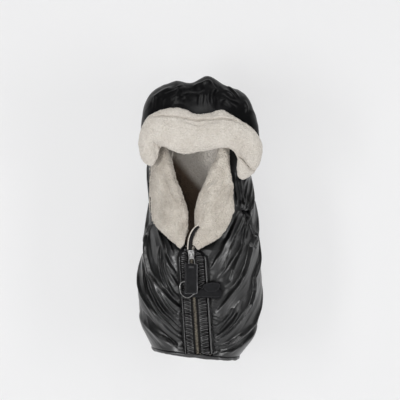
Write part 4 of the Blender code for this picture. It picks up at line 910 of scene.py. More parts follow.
# Plackets: two narrow bands of black cloth beside the zip, gathered into curved ruches, each
# piped at its outer edge, with a facing behind them. The right piping is the fatter one.
TAPE_OUT = 0.0100
PIPING_SEAM = 0.0008
PIPING_SINK = 0.0030
PLACKET_TOP = 0.484
PLACKET_ROWS = 420
RUCHE_PITCH = 0.0084
RUCHE_HEIGHT = 0.0046
RUCHE_SLANT = 0.0050
RUCHE_COLUMNS = 16
PLACKET_BACK = -0.0098
PLACKET_FACE = -0.0042
PLACKET_CROWN = 0.0012
PIPING_TOP = 0.530
PIPING_FOOT = 0.998
PIPING_STEPS = 170
PIPING_STITCH = 0.0065
for side in (-1, 1):
    word = SIDE_WORDS[side]
    front, back = [], []
    for r in range(PLACKET_ROWS + 1):
        level = PLACKET_TOP + (1.0 - PLACKET_TOP) * r / PLACKET_ROWS
        z = level_z(level)
        edge, _ = placket_edge(level, side)
        near = TAPE_OUT - 0.0012
        far = max(abs(edge - zip_x(z)), near + 0.0040)
        row_front, row_back = [], []
        for t in shares(RUCHE_COLUMNS):
            across = side * (near + (far - near) * t)
            slide = z + RUCHE_SLANT * (1 - t) ** 2 + 0.004 * noise.noise(Vector((0, side * 3.3, z * 24)))
            wave = math.cos(2 * math.pi * slide / RUCHE_PITCH
                            + 1.2 * noise.noise(Vector((across * 50, side, z * 60))))
            uneven = 0.85 + 0.4 * noise.noise(Vector((7, side, z * 85)))
            height = RUCHE_HEIGHT * (0.5 + 0.5 * wave) ** 1.5 * uneven
            height += 0.0007 * noise.noise(Vector((across * 150, side, z * 210)))
            height *= 0.25 + 0.75 * math.sin(math.pi * min(max(t, 0.05), 0.95)) ** 0.6
            crown = PLACKET_CROWN * (1 - abs(2 * t - 1) ** 3)
            row_front.append(zip_point(across, PLACKET_FACE + height + crown, z))
            row_back.append(zip_point(across, PLACKET_BACK, z))
        for reach, out in ((0.0008, -0.0072), (2 * piping_radius[side] + 0.0050, -0.0076)):
            row_front.append(zip_point(side * (far + reach), out, z))
            row_back.append(zip_point(side * (far + reach), PLACKET_BACK, z))
        front.append(row_front)
        back.append(row_back)
    placket = sew("placket_ruche_" + word, line_cloth(front, back), placket_black)
    dress(placket, "root", "placket_black", "placket_" + word)
    path = []
    for k in range(PIPING_STEPS + 1):
        level = PIPING_TOP + (PIPING_FOOT - PIPING_TOP) * k / PIPING_STEPS
        z = level_z(level)
        edge, t = placket_edge(level, side)
        across = edge - zip_x(z) + side * (piping_radius[side] * t + PIPING_SEAM)
        sway = 0.0004 * noise.noise(Vector((0, side, z * 60)))
        path.append(zip_point(across + sway, -PIPING_SINK + 0.0012, z))
    cord = roll_cord(path, piping_radius[side], 12, 0.14, PIPING_STITCH)
    piping = sew("placket_piping_" + word, cord, puffer_black)
    dress(piping, "root", "puffer_black", "piping_" + word)

# Zip: a coarse metal zip in a black woven tape, its dull brass teeth in step from the stop at
# the foot up to the nickel slider.
TAPE_IN = 0.0006
TAPE_SINK = 0.0078
TAPE_WALL = 0.0014
TAPE_RISE = 0.0012
TAPE_RIB = 0.00015
TAPE_RIB_PITCH = 0.0025
TAPE_ROWS = 180
TAPE_COLUMNS = 6
TOOTH_OUT = -0.0040
TOOTH_HALF_WALL = 0.0017
TOOTH_PITCH = 0.0040
CHAIN_FOOT_Z = level_z(1.0) + 0.0030
CHAIN_TOP_Z = level_z(ZIP_TOP_LEVEL) - 0.006


def woven_tape(name, colour):
    """Ribbed tape with a little fuzz."""
    paint, tree, shader, place = new_finish(name, colour, 0.75)
    fuzz = emboss(tree, grain(tree, place, 1400, 2), 0.3, 0.0001)
    lighter = tuple(channel * 2.2 for channel in colour)
    set_sockets(tree, shader, {
        "Base Color": tint(tree, grain(tree, place, 300, 3), colour, lighter),
        "Specular IOR Level": 0.15,
        "Normal": emboss(tree, threads(tree, place, "Z", 0.0011, 0.4), 0.6, 0.0004, fuzz)})
    return paint


def metal(name, dark, light, shine, scratch):
    """Plated metal, darker in patches and finely scratched along its height."""
    paint, tree, shader, place = new_finish(name, light, shine[0])
    set_sockets(tree, shader, {
        "Metallic": 1.0,
        "Base Color": tint(tree, grain(tree, place, 220, 5), dark, light, 0.35, 0.6),
        "Roughness": spread(tree, grain(tree, place, 420, 4), *shine),
        "Normal": emboss(tree, grain(tree, place, 700, 4, (1, 1, 0.15)), scratch, 0.00012)})
    return paint


tape_black = woven_tape("zip_tape_black", (0.008, 0.0075, 0.0075))
antique_brass = metal("antique_brass", (0.035, 0.031, 0.025), (0.15, 0.135, 0.11), (0.30, 0.46), 0.25)
nickel = metal("nickel", (0.14, 0.14, 0.14), (0.40, 0.395, 0.39), (0.30, 0.44), 0.18)


def tape_place(side, ribbed, z, share):
    """A point of the tape's back, or of its ribbed face, which rises towards the placket."""
    rise = TAPE_WALL + TAPE_RISE * ease((share * TAPE_COLUMNS - 2) / 3)
    rise += TAPE_RIB * math.sin(2 * math.pi * z / TAPE_RIB_PITCH)
    return zip_point(side * (TAPE_IN + (TAPE_OUT - TAPE_IN) * share), -TAPE_SINK + ribbed * rise, z)


def put_block(metal_piece, centre, half):
    """One stamped tooth, with its edges taken off."""
    made = bmesh.ops.create_cube(metal_piece, size=2)["verts"]
    for vertex in made:
        vertex.co = Vector((vertex.co.x * half[0], vertex.co.y * half[1], vertex.co.z * half[2])) + centre
    edges = list({edge for vertex in made for edge in vertex.link_edges})
    bmesh.ops.bevel(metal_piece, geom=edges, offset=min(half) * 0.45, segments=2, affect="EDGES")


for side in (-1, 1):
    word = SIDE_WORDS[side]
    heights = [CHAIN_FOOT_Z + (CHAIN_TOP_Z - CHAIN_FOOT_Z) * share for share in shares(TAPE_ROWS)]
    layer = layer_between((1, 0), heights, TAPE_COLUMNS, lambda *where: tape_place(side, *where))
    tape = sew("zip_tape_cloth_" + word, layer, tape_black)
    dress(tape, "root", "placket_black", "zip_tape_" + word)
    teeth = bmesh.new()
    start_z = CHAIN_FOOT_Z + TOOTH_PITCH * (0.25 if side < 0 else 0.75)
    for k in range(int((CHAIN_TOP_Z - CHAIN_FOOT_Z) / TOOTH_PITCH) - 1):
        z = start_z + k * TOOTH_PITCH
        root = zip_point(side * 0.0020, TOOTH_OUT - 0.0004, z)
        put_block(teeth, root, (0.0017, TOOTH_HALF_WALL - 0.0004, 0.0011))
        put_block(teeth, zip_point(-side * 0.0002, TOOTH_OUT, z), (0.0014, TOOTH_HALF_WALL, 0.0012))
    teeth_row = sew("zip_teeth_row_" + word, teeth, antique_brass)
    teeth_row.data.set_sharp_from_angle(angle=math.radians(45))
    dress(teeth_row, "root", "antique_brass", "zip_teeth_" + word)

stop = bmesh.new()
put_block(stop, zip_point(0.0, TOOTH_OUT - 0.0002, CHAIN_FOOT_Z - 0.0006), (0.0046, 0.0020, 0.0018))
put_block(stop, zip_point(0.0, TOOTH_OUT + 0.0010, CHAIN_FOOT_Z - 0.0006), (0.0036, 0.0012, 0.0012))
dress(sew("zip_foot_stop", stop, antique_brass), "root", "antique_brass", "zip_bottom_stop")


def refinish(name, finish, wear, segments):
    """Give a solid its own finish and take the sharpness off its edges."""
    for slot in nodes[name].material_slots:
        slot.material = finish
    bevel = nodes[name].modifiers.new("worn_edges", "BEVEL")
    bevel.width = wear
    bevel.segments = segments
    bevel.limit_method = "ANGLE"


refinish("zip_slider", nickel, 0.0005, 3)

# Upper tape: above the slider the parted zip tape runs up the right lapel's inner edge, with
# a narrow cream binding of fleece along its left side.
# The route's points are (x, z, out from the bag's front).
upper_route = (
    (-0.0266, -0.3800, 0.0010), (-0.0266, -0.3720, 0.0050), (-0.0258, -0.3610, 0.0105),
    (-0.0232, -0.3481, 0.0150), (-0.0176, -0.3350, 0.0175), (-0.0105, -0.3262, 0.0160),
    (-0.0040, -0.3215, 0.0120))
UPPER_TAPE_WIDTH = 0.0092


def evenly(points):
    """Points as the rows of a pattern, spaced evenly from 0 to 1."""
    return [(k / (len(points) - 1), *point) for k, point in enumerate(points)]


def upper_tape_at(share):
    """Centre of the upper tape, on a smooth curve, with the direction across it."""
    rows = evenly(upper_route)
    x, z, out = along(rows, share)
    x_next, z_next, _ = along(rows, min(share + 0.02, 1.0))
    x_last, z_last, _ = along(rows, max(share - 0.02, 0.0))
    heading = Vector((x_next - x_last, 0, z_next - z_last)).normalized()
    level = (RIM_Z - z) / BAG_HEIGHT
    return Vector((x, -front_depth(level) - out, z)), Vector((heading.z, 0, -heading.x))


tape_front, tape_back, binding_route = [], [], []
for k in range(61):
    centre, across = upper_tape_at(k / 60)
    width = UPPER_TAPE_WIDTH * (1 - 0.45 * (k / 60) ** 3)
    front, back = [], []
    for c in range(7):
        t = c / 6 - 0.5
        rise = 0.0010 * (1 - (2 * t) ** 2) + 0.0003 * math.sin(2 * math.pi * k / 2.4)
        front.append(centre + across * (width * t) + Vector((0, -0.0006 - rise, 0)))
        back.append(centre + across * (width * t) + Vector((0, 0.0012, 0)))
    tape_front.append(front)
    tape_back.append(back)
    binding_route.append(centre - across * (width / 2 + 0.0010) + Vector((0, -0.0004, 0)))
upper_tape = sew("zip_tape_upper", line_cloth(tape_front, tape_back), tape_black)
binding_cord = roll_cord(binding_route[3:], 0.0016, 10, 0.2, 0.005)
fleece_binding = sew("zip_tape_fleece_edge", binding_cord, fleece_side)
for piece, slot_name in ((upper_tape, "placket_black"), (fleece_binding, "fleece_cream")):
    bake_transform(piece)

# Pull: a nickel wire link under the slider's bridge, and a black leather tab whose narrow neck
# turns round the link's lower bar. The tab is two layers stitched near the edge.
LINK_BAR_RADIUS = 0.0012
TAB_WIDTH = 0.031
TAB_WALL = 0.0035
TAB_BACK_OUT = 0.0071
TAB_SHIFT = 0.0018
STITCH_LENGTH = 0.0026
STITCH_PITCH = 0.0036
THREAD_RADIUS = 0.00032
CORNER_STEPS = 5


def bend_wire(name, corners, radius, finish, body, node, slot_name):
    """A closed wire through corner points, smoothly bent."""
    curve = bpy.data.curves.new(name, "CURVE")
    curve.dimensions = "3D"
    curve.bevel_depth = radius
    curve.bevel_resolution = 5
    curve.resolution_u = 8
    spline = curve.splines.new("BEZIER")
    spline.bezier_points.add(len(corners) - 1)
    for handle, place in zip(spline.bezier_points, corners):
        handle.co = place
        handle.handle_left_type = handle.handle_right_type = "AUTO"
    spline.use_cyclic_u = True
    guide = bpy.data.objects.new(name + "_route", curve)
    bpy.context.scene.collection.objects.link(guide)
    mesh = bpy.data.meshes.new_from_object(guide.evaluated_get(bpy.context.evaluated_depsgraph_get()))
    bpy.data.objects.remove(guide)
    mesh.name = name
    mesh.materials.clear()
    mesh.materials.append(finish)
    mesh.shade_smooth()
    wire = bpy.data.objects.new(name, mesh)
    bpy.context.scene.collection.objects.link(wire)
    dress(wire, body, slot_name, node)


LINK_TOP = Vector((-0.02369, -0.14924, -0.3918))
LINK_FOOT = Vector((-0.02205, -0.15578, -0.4168))
link_drop = LINK_FOOT - LINK_TOP
link_bends = (
    (-0.0040, 0.0), (0.0, 0.0), (0.0040, 0.0), (0.0053, 0.22), (0.0068, 0.62), (0.0059, 0.93), (0.0035, 1.0),
    (0.0, 1.0), (-0.0035, 1.0), (-0.0059, 0.93), (-0.0068, 0.62), (-0.0053, 0.22))
link_corners = [LINK_TOP + link_drop * drop + Vector((across, 0, 0)) for across, drop in link_bends]
bend_wire("pull_link_wire", link_corners, LINK_BAR_RADIUS, nickel, "link", "pull_link", "nickel")


def hide_leather(name, dark, light):
    """Grained hide with a low sheen."""
    paint, tree, shader, place = new_finish(name, dark, 0.45)
    pebble = add_node(tree, "ShaderNodeTexVoronoi", {"Vector": place, "Scale": 1100})["Distance"]
    creases = emboss(tree, grain(tree, place, 380, 4), 0.35, 0.0003)
    set_sockets(tree, shader, {
        "Base Color": tint(tree, grain(tree, place, 150, 4), dark, light),
        "Roughness": spread(tree, grain(tree, place, 260, 3), 0.38, 0.56),
        "Specular IOR Level": 0.12,
        "Normal": emboss(tree, pebble, 0.3, 0.00025, creases)})
    return paint


leather_black = hide_leather("leather_black", (0.0055, 0.0055, 0.0062), (0.012, 0.012, 0.0135))
# Grey leather for the tab's under layer, whose rim shows as a painted highlight.
leather_rim_highlight = hide_leather("leather_rim_highlight", (0.060, 0.060, 0.062), (0.13, 0.13, 0.135))
thread_grey = woven_tape("thread_grey", (0.045, 0.045, 0.048))


def drawn_in(outline, place, scale_at):
    """Places of an outline's points, each drawn in towards the middle by its own scale."""
    middle_a = sum(a for a, _ in outline) / len(outline)
    middle_z = sum(z for _, z in outline) / len(outline)
    ring = []
    for a, z in outline:
        scale = scale_at(math.hypot(a - middle_a, z - middle_z))
        ring.append(place(middle_a + (a - middle_a) * scale, middle_z + (z - middle_z) * scale))
    return ring


def cut_leather(name, outline, face, thickness, finish, bevel=0.0006, dome=0.0):
    """A leather piece from its outline; face gives the place of (across, z) at a height out."""
    steps = ((0.0, bevel), (bevel, 0.0), (thickness - bevel, 0.0), (thickness - bevel * 0.3, bevel * 0.45),
             (thickness, bevel * 1.4))
    rings = [drawn_in(outline, lambda a, z: face(a, out, z), lambda reach: (reach - shrink) / reach)
             for out, shrink in steps]
    rings += [drawn_in(outline, lambda a, z: face(a, thickness + dome * (1 - share), z), lambda reach: share)
              for share in (0.72, 0.36)]
    piece = sew(name, skin_rings(rings), finish)
    piece.data.set_sharp_from_angle(angle=math.radians(38))
    return piece


def rounded(outline, radius):
    """Round the corners of an outline."""
    result = []
    count = len(outline)
    for k, corner in enumerate(outline):
        corner = Vector(corner)
        before, after = Vector(outline[k - 1]), Vector(outline[(k + 1) % count])
        reach_in = min(radius, (before - corner).length / 2.2)
        reach_out = min(radius, (after - corner).length / 2.2)
        start = corner + (before - corner).normalized() * reach_in
        end = corner + (after - corner).normalized() * reach_out
        for t in shares(CORNER_STEPS):
            point = start * (1 - t) ** 2 + corner * 2 * t * (1 - t) + end * t ** 2
            result.append((point.x, point.y))
    return result


def stitch_line(name, path, body):
    """Short stitches of thread along a path of points."""
    stitches = bmesh.new()
    runs = [(b - a).length for a, b in zip(path, path[1:])]

    def walk(distance):
        for (a, b), run in zip(zip(path, path[1:]), runs):
            if distance <= run or (a, b) == (path[-2], path[-1]):
                return a + (b - a) * min(distance / run, 1.0)
            distance -= run

    for k in range(max(int(sum(runs) / STITCH_PITCH), 1)):
        start = walk(STITCH_PITCH * k + (STITCH_PITCH - STITCH_LENGTH) / 2)
        end = walk(STITCH_PITCH * k + (STITCH_PITCH + STITCH_LENGTH) / 2)
        heading = (end - start).normalized()
        rings = []
        for t, swell in ((0.0, 0.35), (0.15, 0.9), (0.5, 1.1), (0.85, 0.9), (1.0, 0.35)):
            middle = start + (end - start) * t - Vector((0, THREAD_RADIUS * 0.9 * math.sin(math.pi * t), 0))
            rings.append(ring_round(middle, heading, THREAD_RADIUS * swell, 6))
        skin_rings(rings, cloth=stitches)
    dress(sew(name, stitches, thread_grey), body, "leather_black")


tab_top = LINK_FOOT.z + 0.0045
tab_foot = tab_top - 0.0734
tab_half = TAB_WIDTH / 2


def tab_face(lift):
    """Places on the tab's front, at a height above its back."""
    def place(x, out, z):
        return Vector((LINK_FOOT.x - TAB_SHIFT + x, -(zip_depth(z) + TAB_BACK_OUT + lift + out), z))
    return place


def band_outline(left, right, foot, top, radius):
    return rounded([(left, foot), (right, foot), (right, top), (left, top)], radius)


leather_paler = hide_leather("leather_paler", (0.030, 0.030, 0.032), (0.060, 0.060, 0.063))
under_edge = band_outline(-tab_half, tab_half, tab_foot, tab_top, 0.0035)
# The black over layer is cut narrower than the grey under layer, most on the right and at the foot, so a grey
# rim shows there: a painted highlight along the tab's edge.
over_edge = band_outline(-tab_half + 0.0006, tab_half - 0.0022, tab_foot + 0.0014, tab_top - 0.0006, 0.0032)
collar_edge = band_outline(-0.0064, 0.0064, tab_top - 0.0108, tab_top - 0.0056, 0.0016)
under_layer = cut_leather("pull_tab_under", under_edge, tab_face(0.0), TAB_WALL * 0.52, leather_rim_highlight)
over_layer = cut_leather("pull_tab_over", over_edge, tab_face(TAB_WALL * 0.53), TAB_WALL * 0.47,
                         leather_black, 0.0005, 0.0002)
eye = LINK_BAR_RADIUS + 0.0005
neck_ring = []
for radius, turn in ((eye + 0.0015, 140), (eye, -140)):
    for k in range(25):
        a = math.radians(-turn + 2 * turn * k / 24)
        neck_ring.append((radius * math.sin(a), radius * math.cos(a)))
neck_loops = []
for x, pinch in ((-0.0034, 0.93), (-0.0031, 1.0), (0.0, 1.01), (0.0031, 1.0), (0.0034, 0.93)):
    neck_loops.append([LINK_FOOT + Vector((x, -out * pinch, up * pinch)) for out, up in neck_ring])
neck_band = sew("pull_tab_neck", skin_rings(neck_loops), leather_black)
# The collar is cut from a paler grey leather than the tab.
collar = cut_leather("pull_tab_collar", collar_edge, tab_face(TAB_WALL + 0.0001), 0.0014, leather_paler,
                     0.0005, 0.0004)
dress(under_layer, "tab", "leather_black", "pull_tab")
for piece in (over_layer, neck_band, collar):
    dress(piece, "tab", "leather_black")
seam_half, seam_foot, seam_top = tab_half - 0.0034, tab_foot + 0.0034, tab_top - 0.012
seam_corners = ((-seam_half, seam_top), (-seam_half, seam_foot + 0.002), (-seam_half + 0.002, seam_foot),
                (seam_half - 0.002, seam_foot), (seam_half, seam_foot + 0.002), (seam_half, seam_top))
stitch_line("pull_tab_stitches", [tab_face(TAB_WALL)(x, 0.0002, z) for x, z in seam_corners], "tab")

# Closing strap: a leather band sewn to the right of the zip on a broad anchor and running left
# under the tab, a pointed tongue over it that snaps onto a stud, and a wire ring in a keeper.
# The outlines are across the zip and up from the band's middle.
STRAP_WALL = 0.0020
STRAP_Z = level_z(0.715)
TONGUE_LIFT = 2 * GAP + STRAP_WALL
RING_SHIFT = -0.0115
RING_HALF = (0.0215, 0.022)
RING_Z = STRAP_Z + 0.0065
RING_WIRE = 0.0011
strap_outline = ((-0.029, -0.0065), (-0.026, -0.0085), (0.0, -0.0100), (0.0400, -0.0105), (0.0580, -0.0120),
                 (0.0670, -0.0060), (0.0680, 0.0060), (0.0600, 0.0140), (0.0453, 0.0140), (0.0073, 0.0070),
                 (-0.029, 0.0065))
anchor_outline = ((0.0455, -0.0115), (0.0560, -0.0135), (0.0650, -0.0115), (0.0690, -0.0030),
                  (0.0680, 0.0090), (0.0600, 0.0150), (0.0455, 0.0140))
tongue_outline = ((0.0200, 0.0180), (0.0320, 0.0250), (0.0484, 0.0280), (0.0650, 0.0263), (0.0668, 0.0180),
                  (0.0610, 0.0080), (0.0500, 0.0035), (0.0300, 0.0045))
ring_shares = ((0.55, 1.0), (0.85, 0.86), (0.98, 0.55), (0.98, 0.15), (0.80, -0.22), (0.45, -0.42),
               (0.12, -0.66), (-0.22, -0.76), (-0.62, -0.62), (-0.92, -0.25), (-1.0, 0.25), (-0.93, 0.70),
               (-0.70, 0.95), (-0.35, 1.0))


def strap_piece(name, node, body, outline, radius, lift, thickness, bevel, dome=0.0):
    """One leather part of the strap, lying on the zip at a height above it."""
    around = rounded([(across, STRAP_Z + up) for across, up in outline], radius)
    piece = cut_leather(name, around, lambda across, out, z: zip_point(across, lift + out, z), thickness,
                        leather_black, bevel, dome)
    dress(piece, body, "leather_black", node)
    return around


strap_piece("closing_strap_band", "closing_strap", "root", strap_outline, 0.004, GAP, STRAP_WALL, 0.0006)
strap_piece("strap_anchor_patch", "strap_anchor", "root", anchor_outline, 0.004, -0.0035, 0.0034, 0.0008)
tongue_edge = strap_piece("strap_tongue_leather", "strap_tongue", "tongue", tongue_outline, 0.006,
                          TONGUE_LIFT, STRAP_WALL, 0.0006, 0.0003)
tongue_seam = drawn_in(tongue_edge, lambda across, z: zip_point(across, TONGUE_LIFT + STRAP_WALL, z),
                       lambda reach: (reach - 0.0022) / reach)
stitch_line("strap_tongue_stitches", tongue_seam + tongue_seam[:1], "tongue")
lower_edge = [zip_point(0.062 - 0.088 * k / 30, GAP + STRAP_WALL, STRAP_Z - 0.0076) for k in range(31)]
stitch_line("closing_strap_stitches", lower_edge, "root")
ring_corners = [zip_point(RING_SHIFT + RING_HALF[0] * across, TONGUE_LIFT + 0.0013,
                          RING_Z + RING_HALF[1] * rise) for across, rise in ring_shares]
bend_wire("strap_ring_wire", ring_corners, RING_WIRE, nickel, "root", "strap_ring", "nickel")
# The stud's steel is painted near black as painted shade, so that it shows no glint at the tongue's edge.
shade_black_steel = metal("shade_black_steel", (0.015, 0.015, 0.015), (0.040, 0.040, 0.042), (0.40, 0.55), 0.1)
refinish("ring_keeper", leather_black, 0.0003, 2)
refinish("snap_stud", shade_black_steel, 0.0003, 2)

# Hanging loops: two bands of black webbing sewn to the top of the back, which the footmuff
# hangs by and which a seat's hooks or straps go through.
LOOP_SPACING = 0.182
LOOP_WIDTH = 0.034
LOOP_BAND = 0.0022
LOOP_HEIGHT = 0.035
LOOP_BACK_Y = -0.010
LOOP_DEPTH = 0.008
LOOP_ARCH = 0.6
webbing = woven_tape("webbing_black", (0.014, 0.014, 0.015))
for side in (-1, 1):
    word = SIDE_WORDS[side]
    centre = side * LOOP_SPACING / 2
    sheets = []
    for inset in (0.0, LOOP_BAND):
        half = LOOP_WIDTH / 2 - inset
        top = LOOP_BASE_Z + LOOP_HEIGHT - inset
        spring = top - half * LOOP_ARCH
        heights = [LOOP_BASE_Z + 0.002 * k for k in range(9)]
        line = [(centre - half, z) for z in heights if z < spring]
        line += [(centre + half * math.cos(a), spring + half * LOOP_ARCH * math.sin(a))
                 for a in (math.pi - math.pi * k / 24 for k in range(25))]
        line += [(centre + half, z) for _, z in reversed(line[:-25])]
        sheets.append(line)
    shortest = min(len(line) for line in sheets)

    def place(line, k, share):
        x, z = line[round(k * (len(line) - 1) / (shortest - 1))]
        return Vector((x, LOOP_BACK_Y + LOOP_DEPTH * share, z))

    loop = sew("hanging_loop_webbing_" + word, layer_between(sheets, range(shortest), 6, place), webbing)
    dress(loop, "root", "puffer_black", "hanging_loop_" + word)

# Hood: a crumpled black shell that peaks right of the middle, its fleece lining, and a back
# sheet sewn to the top of the bag. It is held up by its own wadding.
HOOD_HEIGHT = 0.182
HOOD_DEPTH = 0.150
RIDGE_DEPTH = 0.075
HOOD_WALL = 0.007
HOOD_LINING = 0.0045
HOOD_BACK_RISE = 0.039
hood_back_outline = ((0.0, -0.73, 0.70), (0.35, -0.74, 0.71), (0.65, -0.70, 0.68), (0.85, -0.62, 0.62),
                     (1.0, -0.50, 0.50))
# Curves over the hood from its left foot to its right: x and height, as shares of the bag's half
# width and of the hood's height, at the rear edge, the crown and the front edge, then the front
# edge's depth as a share of the hood's.
hood_curves = (
    (-0.74, 0.01, -0.89, 0.01, -0.85, 0.01, 0.775), (-0.74, 0.30, -0.925, 0.34, -0.89, 0.26, 0.80),
    (-0.72, 0.55, -0.87, 0.635, -0.82, 0.41, 0.88), (-0.64, 0.70, -0.72, 0.805, -0.67, 0.475, 0.90),
    (-0.40, 0.755, -0.40, 0.925, -0.42, 0.525, 0.94), (-0.16, 0.755, -0.14, 0.90, -0.16, 0.475, 0.94),
    (0.10, 0.755, 0.127, 0.985, 0.08, 0.44, 0.94), (0.36, 0.755, 0.40, 0.866, 0.36, 0.495, 0.94),
    (0.58, 0.73, 0.67, 0.762, 0.60, 0.375, 0.90), (0.69, 0.55, 0.815, 0.63, 0.81, 0.29, 0.84),
    (0.72, 0.30, 0.905, 0.35, 0.92, 0.20, 0.77), (0.72, 0.01, 0.915, 0.01, 0.90, 0.01, 0.775))


def hood_z(share):
    return RIM_Z + share * HOOD_HEIGHT


hood_pattern = evenly(hood_curves)


def hood_cloth(s, t):
    """Outer skin of the hood: s from left to right, t from the rear edge to the front edge."""
    rear_x, rear_up, ridge_x, ridge_up, front_x, front_up, front_share = along(hood_pattern, s)
    rear = Vector((width_x(rear_x), -LINED_BACK_Y - GAP, hood_z(rear_up)))
    crown = Vector((width_x(ridge_x), -RIDGE_DEPTH, hood_z(ridge_up)))
    front = Vector((width_x(front_x), -HOOD_DEPTH * front_share, hood_z(front_up)))
    pull = 2 * crown - (rear + front) / 2
    return rear * (1 - t) ** 2 + pull * 2 * t * (1 - t) + front * t ** 2


def hood_place(s, t, inset):
    """A point at an inset from the hood's outer skin, clear of the back and of the bag's rim."""
    step = 0.01
    along_s = hood_cloth(min(s + step, 1.0), t) - hood_cloth(max(s - step, 0.0), t)
    along_t = hood_cloth(s, min(t + step, 1.0)) - hood_cloth(s, max(t - step, 0.0))
    inward = along_t.cross(along_s).normalized()
    if inward.dot(Vector((BAG_CENTRE_X, -0.07, -0.10)) - hood_cloth(s, t)) < 0:
        inward = -inward
    point = hood_cloth(s, t) + inward * inset
    point.y = min(point.y, -LINED_BACK_Y - GAP)
    point.z = max(point.z, RIM_Z + 0.001)
    return point


# Creases pressed into the hood as seen from the front: height and half width, then (x, z) along
# each, all in millimetres.
hood_folds = (
    (4.0, 4.0, ((-63, 24), (-92, 9), (-114, -4), (-116, -40))),
    (3.2, 3.2, ((-39, 23), (-54, 9), (-59, -2), (-79, -15))),
    (-4.0, 3.0, ((-52, -1), (-43, -12), (-41, -19))),
    (3.6, 2.6, ((18, 40), (27, 26), (33, 15), (34, 6))),
    (3.0, 2.2, ((-44, 28), (-58, 18), (-76, 14), (-94, 2))),
    (2.8, 2.2, ((-30, 6), (-44, 0), (-58, -8), (-66, -20))),
    (3.0, 2.2, ((64, 24), (80, 12), (94, -6))),
    (2.8, 2.2, ((52, 2), (60, -6), (74, -14), (92, -20))),
    (-5.0, 4.0, ((40, 12), (32, -4), (33, -34))),
    (3.0, 3.6, ((22, 12), (18, -2), (19, -26))),
    (2.6, 3.4, ((-2, 8), (-5, -14), (-3, -34))),
    (2.6, 2.0, ((9, 10), (10, -10), (6, -34))),
    (-2.6, 2.4, ((25, 10), (24, -10), (25, -34))),
    (3.8, 3.4, ((44, -11), (63, -12), (75, -27), (86, -34))),
    (3.0, 3.2, ((58, 14), (72, 4), (84, -8))),
    (-3.6, 4.5, ((-92, -6), (-96, -22), (-94, -36))),
    (-3.4, 4.5, ((50, -24), (60, -30), (70, -38))),
    (3.0, 3.0, ((106, -12), (114, -30), (112, -46))),
    (3.2, 4.0, ((-20, 22), (4, 30), (18, 38))),
    (-3.0, 4.5, ((-30, 14), (-10, 12), (8, 18))),
    (-3.0, 4.0, ((-66, -24), (-52, -22), (-38, -27))))


def hood_creases(point, t):
    """Crumpled cloth: the pressed creases, then soft folds and small dents between them."""
    bend = noise.noise(point * 20)
    sway_u = 2.2 * noise.noise(point * 50)
    sway_v = 2.2 * noise.noise(point * 50 + Vector((9, 2, 4)))
    pressed = fold_lift(hood_folds, point.x * 1000 + sway_u, point.z * 1000 + sway_v) / 1000
    soft = ridge(point.x * 21 + 0.8 * bend, point.z * 17 + point.y * 14, 8.1, 1.4)
    dent = noise.noise(point * 38) * 0.7 + noise.noise(point * 85) * 0.3
    held = min(1.0, 0.20 + 3.0 * min(t, 1 - t))
    front = ease((-point.y - 0.045) / 0.03)
    return (1.2 * pressed * front + 0.0012 * soft + 0.0012 * dent - 0.0012) * held


def hood_layer(name, node, faces, rows, columns, finish, slot_name):
    """A layer of the hood; each face is an inset from the outer skin and a lift of its own."""
    def place(face, s, t):
        inset, lift = face
        return hood_place(s, t, inset + lift(hood_cloth(s, t), t))

    piece = sew(name, layer_between(faces, shares(rows), columns, place), finish)
    dress(piece, "hood", slot_name, node, fill=0.3)


def no_lift(point, t):
    return 0.0


hood_black = puffer_cloth("hood_black", (0.0020, 0.0020, 0.0023), (0.0045, 0.0045, 0.0050),
                          (0.29, 0.38), 0.10)
hood_layer("hood_cloth", "hood_shell",
           ((0.0, lambda point, t: -hood_creases(point, t)), (HOOD_WALL, no_lift)),
           170, 76, hood_black, "puffer_black")
hood_layer("hood_fleece", "hood_lining",
           ((HOOD_WALL + SEAM, no_lift),
            (HOOD_WALL + SEAM + HOOD_LINING, lambda point, t: 0.0006 * noise.noise(point * 140))),
           120, 56, fleece_side, "fleece_cream")


def hood_back_place(face, rise, across):
    """A point of one face of the back sheet, with its soft folds."""
    y, sign = face
    left, right = along(hood_back_outline, rise)
    x = width_x(left + (right - left) * across)
    z = LOOP_BASE_Z - HOOD_BACK_LAP + (HOOD_BACK_LAP + HOOD_BACK_RISE) * rise
    fold = 0.0010 * ridge(x * 30, z * 40, 6.6, 1.5) + 0.0005 * noise.noise(Vector((x * 80, y, z * 80)))
    return Vector((x, -y + sign * fold, z))


back_sheet = layer_between(((LINED_BACK_Y, -0.3), (BACK_FRONT_Y, 1)), shares(32), 64, hood_back_place)
hood_back_sheet = sew("hood_back_sheet", back_sheet, hood_black)
dress(hood_back_sheet, "root", "puffer_black", "hood_back", fill=0.3)

# Cuff: the hood's front edge rolled out into a thick soft roll of cream fleece. It sags in the
# middle, folds under at the left, and hangs down at the right where its rolled end shows.
CUFF_THICKNESS = 0.037
CUFF_ROUNDING = 0.8
CUFF_STEPS = 120
CUFF_SIDES = 52
CUFF_NET = 0.0044
CUFF_PRESSURE = 4.0
CUFF_SWELL = 0.0022
WADDING_FRAMES = 20
